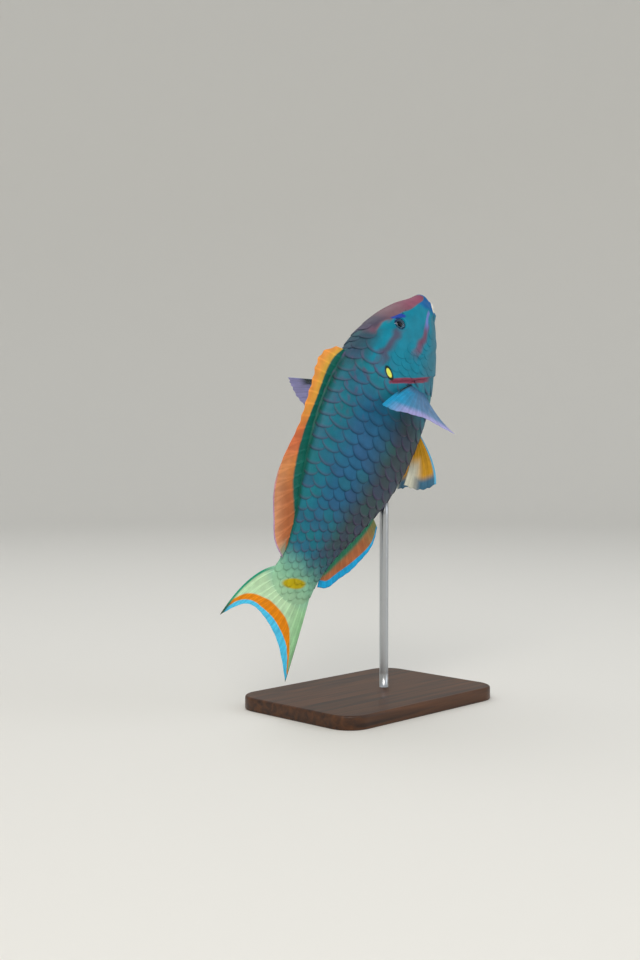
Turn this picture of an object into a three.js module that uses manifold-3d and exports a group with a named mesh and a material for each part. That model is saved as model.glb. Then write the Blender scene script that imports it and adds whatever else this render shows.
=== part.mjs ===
// A terminal-phase stoplight parrotfish as a still, life-size display model on a plain stand.
// It climbs nose up, with its head turned a little to its right and its tail swept to its left.
// Millimetres, +Z up. The stand's base lies on z = 0, and +X is the way the fish is heading.
//
// The fish has a frame of its own: x forward, y to its left, z to its back. Its origin is on the
// axis of the body, half way along the standard length. Places on the fish are given by s, which
// runs along the axis from 0 at the mouth to 1 at the root of the tail fin, and by an angle round
// the body: 0 on the left flank, 90 on the back, 180 on the right flank and 270 on the belly.

import * as THREE from 'three';
import { mergeVertices } from 'three/addons/utils/BufferGeometryUtils.js';
import Module from 'manifold-3d';

const wasm = await Module();
wasm.setup();

const { degToRad } = THREE.MathUtils;

// Driving sizes. Names that end in _SHARE are shares of the standard length.
const STANDARD_LENGTH = 300;
const NOSE_UP = degToRad(56.8);
const HEAD_TURN = degToRad(5.1);
const TAIL_SWEEP = degToRad(7.9);
const STRAIGHT_FROM = 0.45;
const STRAIGHT_TO = 0.55;
const GAP = 0.3;

// How finely forms are faceted. The head's rings crowd towards the snout.
const POINTS_ROUND = 36;
const HEAD_RINGS = { count: 24, crowd: 2 };
const BALL = { around: 18, down: 12 };
const PIT = { around: 8, down: 6 };

// Stations of the body: heights of the back and belly over the axis, and half the breadth. The
// snout overhangs the mouth and begins a little ahead of 0.
const STATIONS = [
  { at: -0.008, back: 0.034, belly: 0.030, half: 0.0015 },
  { at: -0.004, back: 0.051, belly: 0.017, half: 0.017 },
  { at: 0.01, back: 0.062, belly: -0.027, half: 0.027 },
  { at: 0.03, back: 0.076, belly: -0.039, half: 0.038 },
  { at: 0.08, back: 0.118, belly: -0.075, half: 0.061 },
  { at: 0.15, back: 0.160, belly: -0.121, half: 0.0775 },
  { at: 0.24, back: 0.196, belly: -0.161, half: 0.089 },
  { at: 0.34, back: 0.212, belly: -0.188, half: 0.091 },
  { at: 0.46, back: 0.218, belly: -0.197, half: 0.087 },
  { at: 0.60, back: 0.196, belly: -0.181, half: 0.073 },
  { at: 0.74, back: 0.148, belly: -0.136, half: 0.052 },
  { at: 0.86, back: 0.098, belly: -0.092, half: 0.035 },
  { at: 0.94, back: 0.083, belly: -0.081, half: 0.024 },
  { at: 1.00, back: 0.086, belly: -0.086, half: 0.012 },
  { at: 1.04, back: 0.074, belly: -0.074, half: 0.004 },
];
const SNOUT_AT = STATIONS[0].at;
const SECTION_POWER = 0.92;

// Seams. The gill opening slants up and back from the throat to a corner behind the eye.
const THROAT_AT = 0.17;
const GILL_CORNER = { at: 0.338, height: 0.3 };
const NAPE_AT = 0.3;
const GILL_CURVE = 1.4;
const TAIL_STOCK_AT = 0.905;
const TAIL_ROOT_AT = 0.985;
const TAIL_ROOT_BOW = 0.04;
const HEAD_CORE_AT = 0.26;
const SEAM_SHARE = 0.0015;

// Large scales in columns down the body. Each column ends in a zigzag of tips and notches that
// stands proud, with a step down to the column behind. Spread and step are shares of a column.
const SCALES = { torso: 20, tailStock: 3, tip: 0.75, notch: 0.3, spread: 0.27, step: 0.14 };

// Mouth, with lips swollen round a beak that is two fused plates of teeth.
const LIPS = { at: 0.026, width: 0.011, swell: 0.8 };
const BEAK = { at: 0.021, drop: -0.006, back: 0.09, long: 9.8, wide: 8.6, tall: 7.6, overbite: 1.2 };
const MOUTH = { corner: 0.047, slit: 0.7, tilt: degToRad(6) };
const GAPE = { deep: 13, wide: 30, tall: 4.6, rise: 0.7 };
const SLICE = { reach: 60, deep: 30 };
const NOSTRILS = [
  { at: 0.100, angle: degToRad(50), radius: 0.9 },
  { at: 0.115, angle: degToRad(49), radius: 1.3 },
];

// Eyes, set high on the head.
const EYE = { at: 0.156, angle: degToRad(41), radius: 6.8, depth: 4.6, proud: 1.7 };

// Gill covers, plates that stand proud of the skin, most along their rear edge. Each lies in a
// pocket of the head that is larger than it all round and open outwards.
const COVER = {
  low: degToRad(-50),
  high: degToRad(18),
  longest: 0.112,
  shortest: 0.012,
  widening: 0.8,
  thick: 2.6,
  proud: 0.5,
  lip: 1.4,
  columns: 9,
  rows: 7,
};
const POCKET = { margin: degToRad(0.86), behind: 0.02, open: 6 };

// Fins. Rays run from a root line sunk in the body to the free edge.
const MEMBRANE = { root: 1.1, edge: 0.6 };
const RAY_RIDGE = { root: 0.5, edge: 0.22, width: 0.24 };
const ROOT_SUNK = 3;
const DORSAL = { rays: 19, from: 0.315, to: 0.89, bend: 0.7, swing: 5 };
const DORSAL_LEAN = { most: degToRad(11), at: 0.35, over: 0.2 };
const ANAL = { rays: 12, from: 0.66, to: 0.885, bend: 0.55, swing: 0 };
const CAUDAL = { rays: 13 };

// Free edges of the dorsal and anal fins, from the first ray to the last, and their height over
// the axis.
const DORSAL_EDGE = [
  { across: 0, at: 0.332, height: 0.247 },
  { across: 0.07, at: 0.378, height: 0.284 },
  { across: 0.25, at: 0.490, height: 0.280 },
  { across: 0.43, at: 0.610, height: 0.256 },
  { across: 0.56, at: 0.712, height: 0.250 },
  { across: 0.685, at: 0.800, height: 0.224 },
  { across: 0.82, at: 0.880, height: 0.169 },
  { across: 0.92, at: 0.926, height: 0.128 },
  { across: 1, at: 0.946, height: 0.092 },
];
const ANAL_EDGE = [
  { across: 0, at: 0.680, height: -0.199 },
  { across: 0.12, at: 0.714, height: -0.210 },
  { across: 0.3, at: 0.770, height: -0.205 },
  { across: 0.5, at: 0.835, height: -0.180 },
  { across: 0.7, at: 0.888, height: -0.150 },
  { across: 0.87, at: 0.930, height: -0.123 },
  { across: 1, at: 0.945, height: -0.092 },
];

// Paired fins by their first and last rays: where each is rooted, how far in degrees it is swept
// back and raised over the crosswise direction, its length, and how it bows half way along, in
// millimetres ahead, out and up. The rays between are longer by a belly, and the front ones by a
// lobe that the rear ones lack.
const PECTORAL = {
  rays: 12,
  left: {
    first: { at: 0.285, angle: -10, sweep: 31, raise: 47, length: 0.265, bow: [0, 0, 0] },
    last: { at: 0.268, angle: -27, sweep: 42, raise: 0, length: 0.195, bow: [0, 0, 0] },
    bend: { sweep: 1.5, raise: 1.8 },
    belly: 0.1,
    lobe: 0,
  },
  right: {
    first: { at: 0.284, angle: -8, sweep: 67, raise: 39, length: 0.24, bow: [3.5, 0, 0] },
    last: { at: 0.268, angle: -27, sweep: 40, raise: -12, length: 0.196, bow: [-4, 0, 0] },
    bend: { sweep: 1.5, raise: 2.2 },
    belly: -0.05,
    lobe: 0.12,
  },
};
const PELVIC = {
  rays: 6,
  both: {
    first: { at: 0.350, angle: -75, sweep: 77, raise: -50, length: 0.166, bow: [0, 3, -4] },
    last: { at: 0.383, angle: -81, sweep: 85, raise: -6, length: 0.142, bow: [0, 0, -1] },
    bend: { sweep: 1, raise: 1 },
    belly: 0.04,
    lobe: 0,
  },
};

// The tail fin from its upper edge to its lower: where rays start, which way they bow, and the
// crescent of their tips.
const CAUDAL_ROOT = [[0.962, 0.074], [0.995, 0.040], [1.000, 0.000], [0.995, -0.040], [0.962, -0.076]];
const CAUDAL_BOW = [[1.028, 0.165], [1.050, 0.075], [1.055, 0.010], [1.058, -0.060], [1.075, -0.115]];
const CAUDAL_TIP = [[1.176, 0.166], [1.109, 0.110], [1.106, 0.035], [1.140, -0.060], [1.222, -0.165]];

// Stand.
const BASE = { length: 200, width: 140, height: 12, corner: 22, bevel: 2, centre: 10 };
const ROD = { radius: 4, at: 0.6, sunk: 15, segments: 20 };
const TAIL_CLEARANCE = 16;

function material(name, colour, roughness, metalness = 0) {
  return new THREE.MeshStandardMaterial({ name, color: colour, roughness, metalness });
}

const scaledSkin = material('scaled skin', 0x2f7f86, 0.42);
const headSkin = material('head skin', 0x1c8594, 0.4);
const dorsalSkin = material('dorsal fin membrane', 0xc9713f, 0.5);
const analSkin = material('anal fin membrane', 0xd06a45, 0.5);
const caudalSkin = material('tail fin membrane', 0x9cc9a4, 0.5);
const pectoralSkin = material('pectoral fin membrane', 0x8d9fc8, 0.45);
const pelvicSkin = material('pelvic fin membrane', 0xe0a83c, 0.5);
const toothPlate = material('fused teeth', 0xe9f1ee, 0.25);
const eyeball = material('cornea over iris', 0x24444a, 0.08);
const lacqueredWood = material('lacquered wood', 0x3b2a20, 0.4);
const brushedSteel = material('brushed steel', 0xb9bcc0, 0.32, 1);

// The section at s, read off a smooth curve through the stations. The curve runs over the root of
// the distance from the snout, so that the snout is blunt.
const sectionCurve = new THREE.CubicInterpolant(
  STATIONS.map((station) => Math.sqrt(station.at - SNOUT_AT)),
  STATIONS.flatMap((station) => [station.back, station.belly, station.half]),
  3,
);

function sectionAt(s) {
  const [back, belly, half] = sectionCurve.evaluate(Math.sqrt(Math.max(s - SNOUT_AT, 0)));
  return { back: back * STANDARD_LENGTH, belly: belly * STANDARD_LENGTH, half: half * STANDARD_LENGTH };
}

// A point beside the axis at s, in the fish's frame. The axis is straight amidships and turns
// evenly more and more towards each end.
function place(s, y, z) {
  const run = s < 0.5 ? Math.max(0, STRAIGHT_FROM - s) : Math.min(0, STRAIGHT_TO - s);
  const turn = -(s < 0.5 ? HEAD_TURN : TAIL_SWEEP) * Math.abs(run) / STRAIGHT_FROM;
  const along = (0.5 - s - run * turn * turn / 6) * STANDARD_LENGTH;
  const aside = run * turn / 2 * STANDARD_LENGTH;
  return new THREE.Vector3(along - Math.sin(turn) * y, aside + Math.cos(turn) * y, z);
}

function rounded(x) {
  return Math.sign(x) * Math.abs(x) ** SECTION_POWER;
}

// A point on the skin, or lifted off it. The lips swell it beside and below the beak.
function skin(s, angle, lift = 0) {
  const { back, belly, half } = sectionAt(s);
  const out = lift + LIPS.swell * (1 - Math.sin(angle)) * Math.exp(-(((s - LIPS.at) / LIPS.width) ** 2));
  const y = (half + out) * rounded(Math.cos(angle));
  const z = (back + belly) / 2 + ((back - belly) / 2 + out) * rounded(Math.sin(angle));
  return place(s, y, z);
}

// The direction straight out of the skin.
function outwards(s, angle, step = 0.002) {
  const along = skin(s - step, angle).sub(skin(s + step, angle));
  const round = skin(s, angle + step).sub(skin(s, angle - step));
  return along.cross(round).normalize().negate();
}

// The gill seam's s at an angle round the body, alike on both sides.
function gillSeam(angle) {
  const height = Math.sin(angle);
  const rise = Math.min(1, (height + 1) / (GILL_CORNER.height + 1));
  const over = Math.max(0, height - GILL_CORNER.height) / (1 - GILL_CORNER.height);
  return THREE.MathUtils.lerp(THROAT_AT, GILL_CORNER.at, rise ** GILL_CURVE)
    + (NAPE_AT - GILL_CORNER.at) * over * (2 - over);
}

// Points and triangles as one closed geometry with its faces outwards.
function closed(points, triangles) {
  let volume = 0;
  for (const [a, b, c] of triangles) {
    volume += points[a].dot(points[b].clone().cross(points[c]));
  }
  const order = volume > 0 ? triangles : triangles.map(([a, b, c]) => [a, c, b]);
  const geometry = new THREE.BufferGeometry();
  geometry.setAttribute('position', new THREE.Float32BufferAttribute(points.flatMap((p) => p.toArray()), 3));
  geometry.setIndex(order.flat());
  return geometry;
}

function toSolid(geometry) {
  const bare = geometry.clone();
  bare.deleteAttribute('normal');
  bare.deleteAttribute('uv');
  const merged = mergeVertices(bare, 1e-4);
  return new wasm.Manifold(new wasm.Mesh({
    numProp: 3,
    vertProperties: new Float32Array(merged.attributes.position.array),
    triVerts: new Uint32Array(merged.index.array),
  }));
}

// A solid's largest closed surface as a geometry.
function toGeometry(solid) {
  const pieces = solid.decompose();
  const largest = pieces.reduce((best, piece) => (piece.volume() > best.volume() ? piece : best));
  const mesh = largest.getMesh();
  const geometry = new THREE.BufferGeometry();
  geometry.setAttribute('position', new THREE.BufferAttribute(new Float32Array(mesh.vertProperties), 3));
  geometry.setIndex(new THREE.BufferAttribute(new Uint32Array(mesh.triVerts), 1));
  return geometry;
}

// Rings of points joined into a loft, with a middle point closing each end.
function loft(rings, first, last) {
  const points = [first, ...rings.flat(), last];
  const round = rings[0].length;
  const end = points.length - 1;
  const triangles = [];
  for (let j = 0; j < round; j += 1) {
    const next = (j + 1) % round;
    triangles.push([0, 1 + next, 1 + j]);
    triangles.push([end, end - round + j, end - round + next]);
    for (let i = 0; i < rings.length - 1; i += 1) {
      const a = 1 + i * round;
      const b = a + round;
      triangles.push([a + j, a + next, b + next], [a + j, b + next, b + j]);
    }
  }
  return closed(points, triangles);
}

// The stops of plain rings: their share of the way from seam to seam.
function plainStops({ count, crowd }) {
  return Array.from({ length: count + 1 }, (_, i) => ({ share: () => (i / count) ** crowd, raise: () => 0 }));
}

// The stops of columns of scales: at each, a raised zigzag and the foot of its step.
function scaleStops(columns) {
  const stops = [{ share: () => 0, raise: () => 0 }];
  for (let column = 0; column < columns; column += 1) {
    const tip = (j) => (j + column) % 2 === 0;
    const edge = (j) => (column + 0.5 + (tip(j) ? SCALES.spread : -SCALES.spread)) / columns;
    stops.push({ share: edge, raise: (j) => (tip(j) ? SCALES.tip : SCALES.notch) });
    stops.push({ share: (j) => edge(j) + SCALES.step / columns, raise: () => 0 });
  }
  stops.push({ share: () => 1, raise: () => 0 });
  return stops;
}

// A length of the body between two seams.
function bodyLength({ from, to, stops, core = [from(0), to(0)], lift = 0, longer = 0 }) {
  const rings = stops.map((stop) => Array.from({ length: POINTS_ROUND }, (_, j) => {
    const angle = j / POINTS_ROUND * 2 * Math.PI;
    const start = Math.max(SNOUT_AT, from(angle) - longer);
    const s = THREE.MathUtils.lerp(start, to(angle) + longer, stop.share(j));
    return skin(s, angle, lift + stop.raise(j));
  }));
  const middle = (s) => place(s, 0, (sectionAt(s).back + sectionAt(s).belly) / 2);
  const first = middle(Math.max(SNOUT_AT, core[0] - longer));
  const last = middle(core[1] + longer);
  return toSolid(loft(core[0] === SNOUT_AT ? rings.slice(1) : rings, first, last));
}

// A thin body between two grids of points, with both faces split into triangles alike.
function slab(columns, rows, front, back) {
  const points = [];
  for (const face of [front, back]) {
    for (let i = 0; i < columns; i += 1) {
      for (let j = 0; j < rows; j += 1) {
        points.push(face(i, j));
      }
    }
  }
  const other = columns * rows;
  const at = (i, j) => i * rows + j;
  const triangles = [];
  for (let i = 0; i < columns - 1; i += 1) {
    for (let j = 0; j < rows - 1; j += 1) {
      const [a, b, c, d] = [at(i, j), at(i + 1, j), at(i + 1, j + 1), at(i, j + 1)];
      triangles.push([a, b, c], [a, c, d]);
      triangles.push([other + a, other + c, other + b], [other + a, other + d, other + c]);
    }
  }
  const rim = [
    ...Array.from({ length: columns - 1 }, (_, i) => at(i, 0)),
    ...Array.from({ length: rows - 1 }, (_, j) => at(columns - 1, j)),
    ...Array.from({ length: columns - 1 }, (_, i) => at(columns - 1 - i, rows - 1)),
    ...Array.from({ length: rows - 1 }, (_, j) => at(0, rows - 1 - j)),
  ];
  rim.forEach((a, k) => {
    const b = rim[(k + 1) % rim.length];
    triangles.push([b, a, other + a], [b, other + a, other + b]);
  });
  return closed(points, triangles);
}

// A fin of rays. surface(across, along) is its middle surface, across the rays from the first to
// the last and along each from its root to its tip.
function fin({ rays, rows, surface }) {
  const across = [];
  for (let ray = 0; ray < rays; ray += 1) {
    for (const foot of [-RAY_RIDGE.width, 0, RAY_RIDGE.width]) {
      across.push({ at: (ray + foot) / (rays - 1), ridge: foot === 0 ? 1 : 0 });
    }
  }
  across.shift();
  across.pop();
  const half = (i, j) => {
    const along = j / (rows - 1);
    const membrane = THREE.MathUtils.lerp(MEMBRANE.root, MEMBRANE.edge, along) / 2;
    return membrane + across[i].ridge * THREE.MathUtils.lerp(RAY_RIDGE.root, RAY_RIDGE.edge, along);
  };
  const step = 0.01;
  const face = (side) => (i, j) => {
    const u = across[i].at;
    const v = j / (rows - 1);
    const overRays = surface(Math.min(1, u + step), v).sub(surface(Math.max(0, u - step), v));
    const alongRay = surface(u, Math.min(1, v + step)).sub(surface(u, Math.max(0, v - step)));
    const normal = overRays.cross(alongRay).normalize();
    return surface(u, v).addScaledVector(normal, side * half(i, j));
  };
  return toSolid(slab(across.length, rows, face(1), face(-1)));
}

// The body's three lengths, and the same ones grown by the gap, which cut whatever meets them.
const seams = {
  nose: () => SNOUT_AT,
  tailStock: () => TAIL_STOCK_AT,
  tailRoot: (angle) => TAIL_ROOT_AT + TAIL_ROOT_BOW * Math.abs(Math.cos(angle)),
};
const lengths = {
  head: { from: seams.nose, to: gillSeam, stops: plainStops(HEAD_RINGS), core: [SNOUT_AT, HEAD_CORE_AT] },
  torso: {
    from: (angle) => gillSeam(angle) + SEAM_SHARE,
    to: seams.tailStock,
    stops: scaleStops(SCALES.torso),
    core: [HEAD_CORE_AT + SEAM_SHARE, TAIL_STOCK_AT],
  },
  tailStock: {
    from: () => TAIL_STOCK_AT + SEAM_SHARE,
    to: seams.tailRoot,
    stops: scaleStops(SCALES.tailStock),
  },
};
function grownLength(length) {
  return bodyLength({ ...length, lift: GAP, longer: SEAM_SHARE });
}

const grownTorso = grownLength(lengths.torso);
const grown = grownTorso.add(grownLength(lengths.head)).add(grownLength(lengths.tailStock));

// A dome cut from a ball whose middle lies under the skin and whose short axis points out of it.
function eyeSolid(side, growth) {
  const angle = side > 0 ? EYE.angle : Math.PI - EYE.angle;
  const out = outwards(EYE.at, angle);
  const geometry = new THREE.SphereGeometry(1, BALL.around, BALL.down);
  geometry.rotateX(Math.PI / 2);
  geometry.scale(EYE.radius + growth, EYE.radius + growth, EYE.depth + growth);
  const turn = new THREE.Quaternion().setFromUnitVectors(new THREE.Vector3(0, 0, 1), out);
  geometry.applyQuaternion(turn);
  geometry.translate(...skin(EYE.at, angle).addScaledVector(out, EYE.proud - EYE.depth).toArray());
  return toSolid(geometry);
}

// The ball that both plates of the beak are cut from.
function beakBall(growth, shift = 0) {
  const geometry = new THREE.SphereGeometry(1, BALL.around, BALL.down);
  geometry.rotateZ(Math.PI / 2);
  geometry.scale(BEAK.long + growth, BEAK.wide + growth, BEAK.tall + growth);
  const middle = place(BEAK.at, 0, BEAK.drop * STANDARD_LENGTH);
  geometry.translate(middle.x - shift, middle.y, middle.z);
  return toSolid(geometry);
}

// The hollow between the lips, in which the cutting edges of the beak stand free.
function gape() {
  const geometry = new THREE.SphereGeometry(1, BALL.around, BALL.down);
  geometry.rotateZ(Math.PI / 2);
  geometry.scale(GAPE.deep, GAPE.wide, GAPE.tall);
  geometry.rotateY(-MOUTH.tilt);
  const middle = place(BEAK.at, 0, BEAK.drop * STANDARD_LENGTH);
  const height = BEAK.long * Math.sin(MOUTH.tilt) + GAPE.rise;
  geometry.translate(middle.x + BEAK.long, middle.y, middle.z + height);
  return toSolid(geometry);
}

// A slice at the height of the mouth, from its corner forwards past the snout.
function mouthSlice(corner, height, shift = 0) {
  const geometry = new THREE.BoxGeometry(SLICE.reach, SLICE.reach, height);
  geometry.translate(SLICE.reach / 2, 0, shift);
  geometry.rotateY(-MOUTH.tilt);
  const hinge = place(corner, 0, BEAK.drop * STANDARD_LENGTH - MOUTH.tilt * corner * STANDARD_LENGTH);
  geometry.translate(hinge.x, hinge.y, hinge.z);
  return toSolid(geometry);
}

// One plate of the beak: the half of the ball on its side of the mouth.
function beakPlate(side) {
  const half = mouthSlice(BEAK.back, SLICE.deep, side * (SLICE.deep + MOUTH.slit) / 2);
  return beakBall(0, side > 0 ? 0 : BEAK.overbite).intersect(half);
}

function nostril(side, { at, angle, radius }) {
  const geometry = new THREE.SphereGeometry(radius, PIT.around, PIT.down);
  geometry.translate(...skin(at, side > 0 ? angle : Math.PI - angle).toArray());
  return toSolid(geometry);
}

// A slab on the skin from a front line back to the gill seam, grown by a margin, between an inner
// and an outer lift that goes by the share of the way back.
function coverSlab(side, { margin, ahead, behind, inner, outer }) {
  const face = (lift) => (i, j) => {
    const across = i / (COVER.columns - 1);
    const along = j / (COVER.rows - 1);
    const angle = THREE.MathUtils.lerp(COVER.low - margin, COVER.high + margin, across);
    const wide = THREE.MathUtils.lerp(COVER.shortest, COVER.longest, across ** COVER.widening);
    const front = gillSeam(angle) - wide - ahead;
    const s = THREE.MathUtils.lerp(front, gillSeam(angle) + behind, along);
    return skin(s, side > 0 ? angle : Math.PI - angle, lift(along));
  };
  return toSolid(slab(COVER.columns, COVER.rows, face(outer), face(inner)));
}

function gillCover(side) {
  const outer = (along) => THREE.MathUtils.lerp(COVER.proud, COVER.lip, along);
  return coverSlab(side, { margin: 0, ahead: 0, behind: 0, inner: () => -COVER.thick, outer });
}

function gillPocket(side) {
  const ahead = GAP / STANDARD_LENGTH;
  const inner = () => -COVER.thick - GAP;
  return coverSlab(side, { ...POCKET, ahead, inner, outer: () => POCKET.open });
}

// A smooth curve through a fin's edge points, read off by the share across its rays.
function edgeCurve(points) {
  const values = points.flatMap((point) => [point.at, point.height]);
  return new THREE.CubicInterpolant(points.map((point) => point.across), values, 2);
}

// A median fin's point, from a root sunk in the back or belly to the free edge, leaning aside. Its
// rear rays bend back as they rise, and the last ones swing to the right.
function medianPoint({ from, to, bend, swing }, edge, keel, lean, across, along) {
  const rootAt = THREE.MathUtils.lerp(from, to, across);
  const rootHeight = keel(rootAt);
  const [at, height] = edge.evaluate(THREE.MathUtils.clamp(across, 0, 1));
  const rise = height * STANDARD_LENGTH - rootHeight;
  const sunk = Math.sign(rise) * ROOT_SUNK;
  const reach = THREE.MathUtils.lerp(-sunk, rise, along);
  const s = THREE.MathUtils.lerp(rootAt, at, along ** THREE.MathUtils.lerp(1, bend, across));
  const aside = swing * THREE.MathUtils.smoothstep(across, 0.85, 1) * along ** 2;
  return place(s, -reach * Math.sin(lean) - aside, rootHeight + reach * Math.cos(lean));
}

const dorsalEdge = edgeCurve(DORSAL_EDGE);
const analEdge = edgeCurve(ANAL_EDGE);

function dorsalSurface(across, along) {
  const lean = DORSAL_LEAN.most * Math.exp(-(((across - DORSAL_LEAN.at) / DORSAL_LEAN.over) ** 2));
  return medianPoint(DORSAL, dorsalEdge, (s) => sectionAt(s).back, lean, across, along);
}

function analSurface(across, along) {
  return medianPoint(ANAL, analEdge, (s) => sectionAt(s).belly, 0, across, along);
}

// The tail fin's rays are bowed curves.
const [caudalRoot, caudalBow, caudalTip] = [CAUDAL_ROOT, CAUDAL_BOW, CAUDAL_TIP].map((points) => (
  new THREE.SplineCurve(points.map(([s, z]) => new THREE.Vector2(s, z)))
));

function caudalSurface(across, along) {
  const share = THREE.MathUtils.clamp(across, 0, 1);
  const ray = new THREE.QuadraticBezierCurve(
    caudalRoot.getPoint(share),
    caudalBow.getPoint(share),
    caudalTip.getPoint(share),
  );
  const point = ray.getPoint(THREE.MathUtils.clamp(along, 0, 1));
  return place(point.x, 0, point.y * STANDARD_LENGTH);
}

// A paired fin's surface, mixed from its first ray to its last. Bends of over 1 hold the rays near
// the first one's lie for longer.
function pairedSurface(side, { first, last, bend, belly, lobe }) {
  return (across, along) => {
    const share = THREE.MathUtils.clamp(across, 0, 1);
    const mix = (name, power = 1) => THREE.MathUtils.lerp(first[name], last[name], share ** power);
    const sweep = degToRad(mix('sweep', bend.sweep));
    const raise = degToRad(mix('raise', bend.raise));
    const direction = new THREE.Vector3(
      -Math.sin(sweep) * Math.cos(raise),
      side * Math.cos(sweep) * Math.cos(raise),
      Math.sin(raise),
    );
    const fuller = 1 + belly * Math.sin(Math.PI * share) + lobe * Math.sin(2 * Math.PI * share);
    const bow = new THREE.Vector3(...first.bow).lerp(new THREE.Vector3(...last.bow), share);
    bow.y *= side;
    const lateral = degToRad(mix('angle'));
    const angle = side > 0 ? lateral : Math.PI - lateral;
    return skin(mix('at'), angle)
      .addScaledVector(outwards(mix('at'), angle), -ROOT_SUNK * (1 - along))
      .addScaledVector(direction, mix('length') * fuller * along * STANDARD_LENGTH)
      .addScaledVector(bow, 4 * along * (1 - along));
  };
}

function named(name, geometry, surface) {
  const mesh = new THREE.Mesh(geometry, surface);
  mesh.name = name;
  return mesh;
}

// The fish.
const fish = new THREE.Group();
const sides = [{ word: 'left', sign: 1 }, { word: 'right', sign: -1 }];

let head = bodyLength(lengths.head);
head = head.subtract(beakBall(GAP)).subtract(beakBall(GAP, BEAK.overbite));
head = head.subtract(mouthSlice(MOUTH.corner, MOUTH.slit)).subtract(gape());
for (const { sign } of sides) {
  head = head.subtract(eyeSolid(sign, GAP)).subtract(gillPocket(sign));
  for (const pit of NOSTRILS) {
    head = head.subtract(nostril(sign, pit));
  }
}
fish.add(named('head', toGeometry(head), headSkin));
fish.add(named('torso', toGeometry(bodyLength(lengths.torso)), scaledSkin));
fish.add(named('tail_stock', toGeometry(bodyLength(lengths.tailStock)), scaledSkin));
fish.add(named('beak_upper', toGeometry(beakPlate(1)), toothPlate));
fish.add(named('beak_lower', toGeometry(beakPlate(-1)), toothPlate));

for (const { word, sign } of sides) {
  fish.add(named(`eye_${word}`, toGeometry(eyeSolid(sign, 0)), eyeball));
  fish.add(named(`gill_cover_${word}`, toGeometry(gillCover(sign).subtract(grownTorso)), headSkin));
}

function addFin(name, solid, surface) {
  fish.add(named(name, toGeometry(solid.subtract(grown)), surface));
}

addFin('dorsal_fin', fin({ rays: DORSAL.rays, rows: 5, surface: dorsalSurface }), dorsalSkin);
addFin('anal_fin', fin({ rays: ANAL.rays, rows: 4, surface: analSurface }), analSkin);
addFin('caudal_fin', fin({ rays: CAUDAL.rays, rows: 7, surface: caudalSurface }), caudalSkin);
for (const { word, sign } of sides) {
  const pectoral = pairedSurface(sign, PECTORAL[word]);
  addFin(`pectoral_fin_${word}`, fin({ rays: PECTORAL.rays, rows: 6, surface: pectoral }), pectoralSkin);
  const pelvic = pairedSurface(sign, PELVIC.both);
  addFin(`pelvic_fin_${word}`, fin({ rays: PELVIC.rays, rows: 5, surface: pelvic }), pelvicSkin);
}

// The fish is turned nose up, and lifted until its lowest point clears the base.
fish.rotation.y = -NOSE_UP;
fish.updateMatrixWorld(true);
const box = new THREE.Box3().setFromObject(fish, true);
fish.position.z = BASE.height + TAIL_CLEARANCE - box.min.z;
fish.updateMatrixWorld(true);

// The stand: a flat base with rounded corners, and a rod cut to the belly it holds.
function baseOutline() {
  const [x, y, r] = [BASE.length / 2 - BASE.bevel, BASE.width / 2 - BASE.bevel, BASE.corner];
  const outline = new THREE.Shape();
  outline.absarc(x - r, y - r, r, 0, Math.PI / 2);
  outline.absarc(-x + r, y - r, r, Math.PI / 2, Math.PI);
  outline.absarc(-x + r, -y + r, r, Math.PI, 1.5 * Math.PI);
  outline.absarc(x - r, -y + r, r, 1.5 * Math.PI, 2 * Math.PI);
  return outline;
}

const baseGeometry = new THREE.ExtrudeGeometry(baseOutline(), {
  depth: BASE.height - 2 * BASE.bevel,
  bevelSize: BASE.bevel,
  bevelThickness: BASE.bevel,
  bevelSegments: 1,
  curveSegments: 6,
});
baseGeometry.translate(BASE.centre, 0, BASE.bevel);

const foot = skin(ROD.at, -Math.PI / 2).applyMatrix4(fish.matrixWorld);
const rodLength = foot.z + ROD.sunk - BASE.height - GAP;
const rodGeometry = new THREE.CylinderGeometry(ROD.radius, ROD.radius, rodLength, ROD.segments);
rodGeometry.rotateX(Math.PI / 2);
rodGeometry.translate(foot.x, foot.y, BASE.height + GAP + rodLength / 2);
const rod = toSolid(rodGeometry).subtract(grown.transform(fish.matrixWorld.toArray()));

const group = new THREE.Group();
group.add(fish);
group.add(named('stand_base', toGeometry(toSolid(baseGeometry)), lacqueredWood));
group.add(named('stand_rod', toGeometry(rod), brushedSteel));

export default group;
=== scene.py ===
"""A terminal-phase stoplight parrotfish as a museum shows it: a life-size cast, airbrushed and
varnished, climbing nose up on a plain stand.

The fish has a frame of its own, in millimetres: x forward, y to its left, z to its back, from a
point of its axis half way along the standard length. s runs along the axis from 0 at the mouth to
1 at the root of the tail fin. An angle runs round the body: 0 on the left flank, 90 degrees on
the back, 180 on the right flank. Folded on to one side, it is an elevation from -90 to 90.
"""

import math

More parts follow.
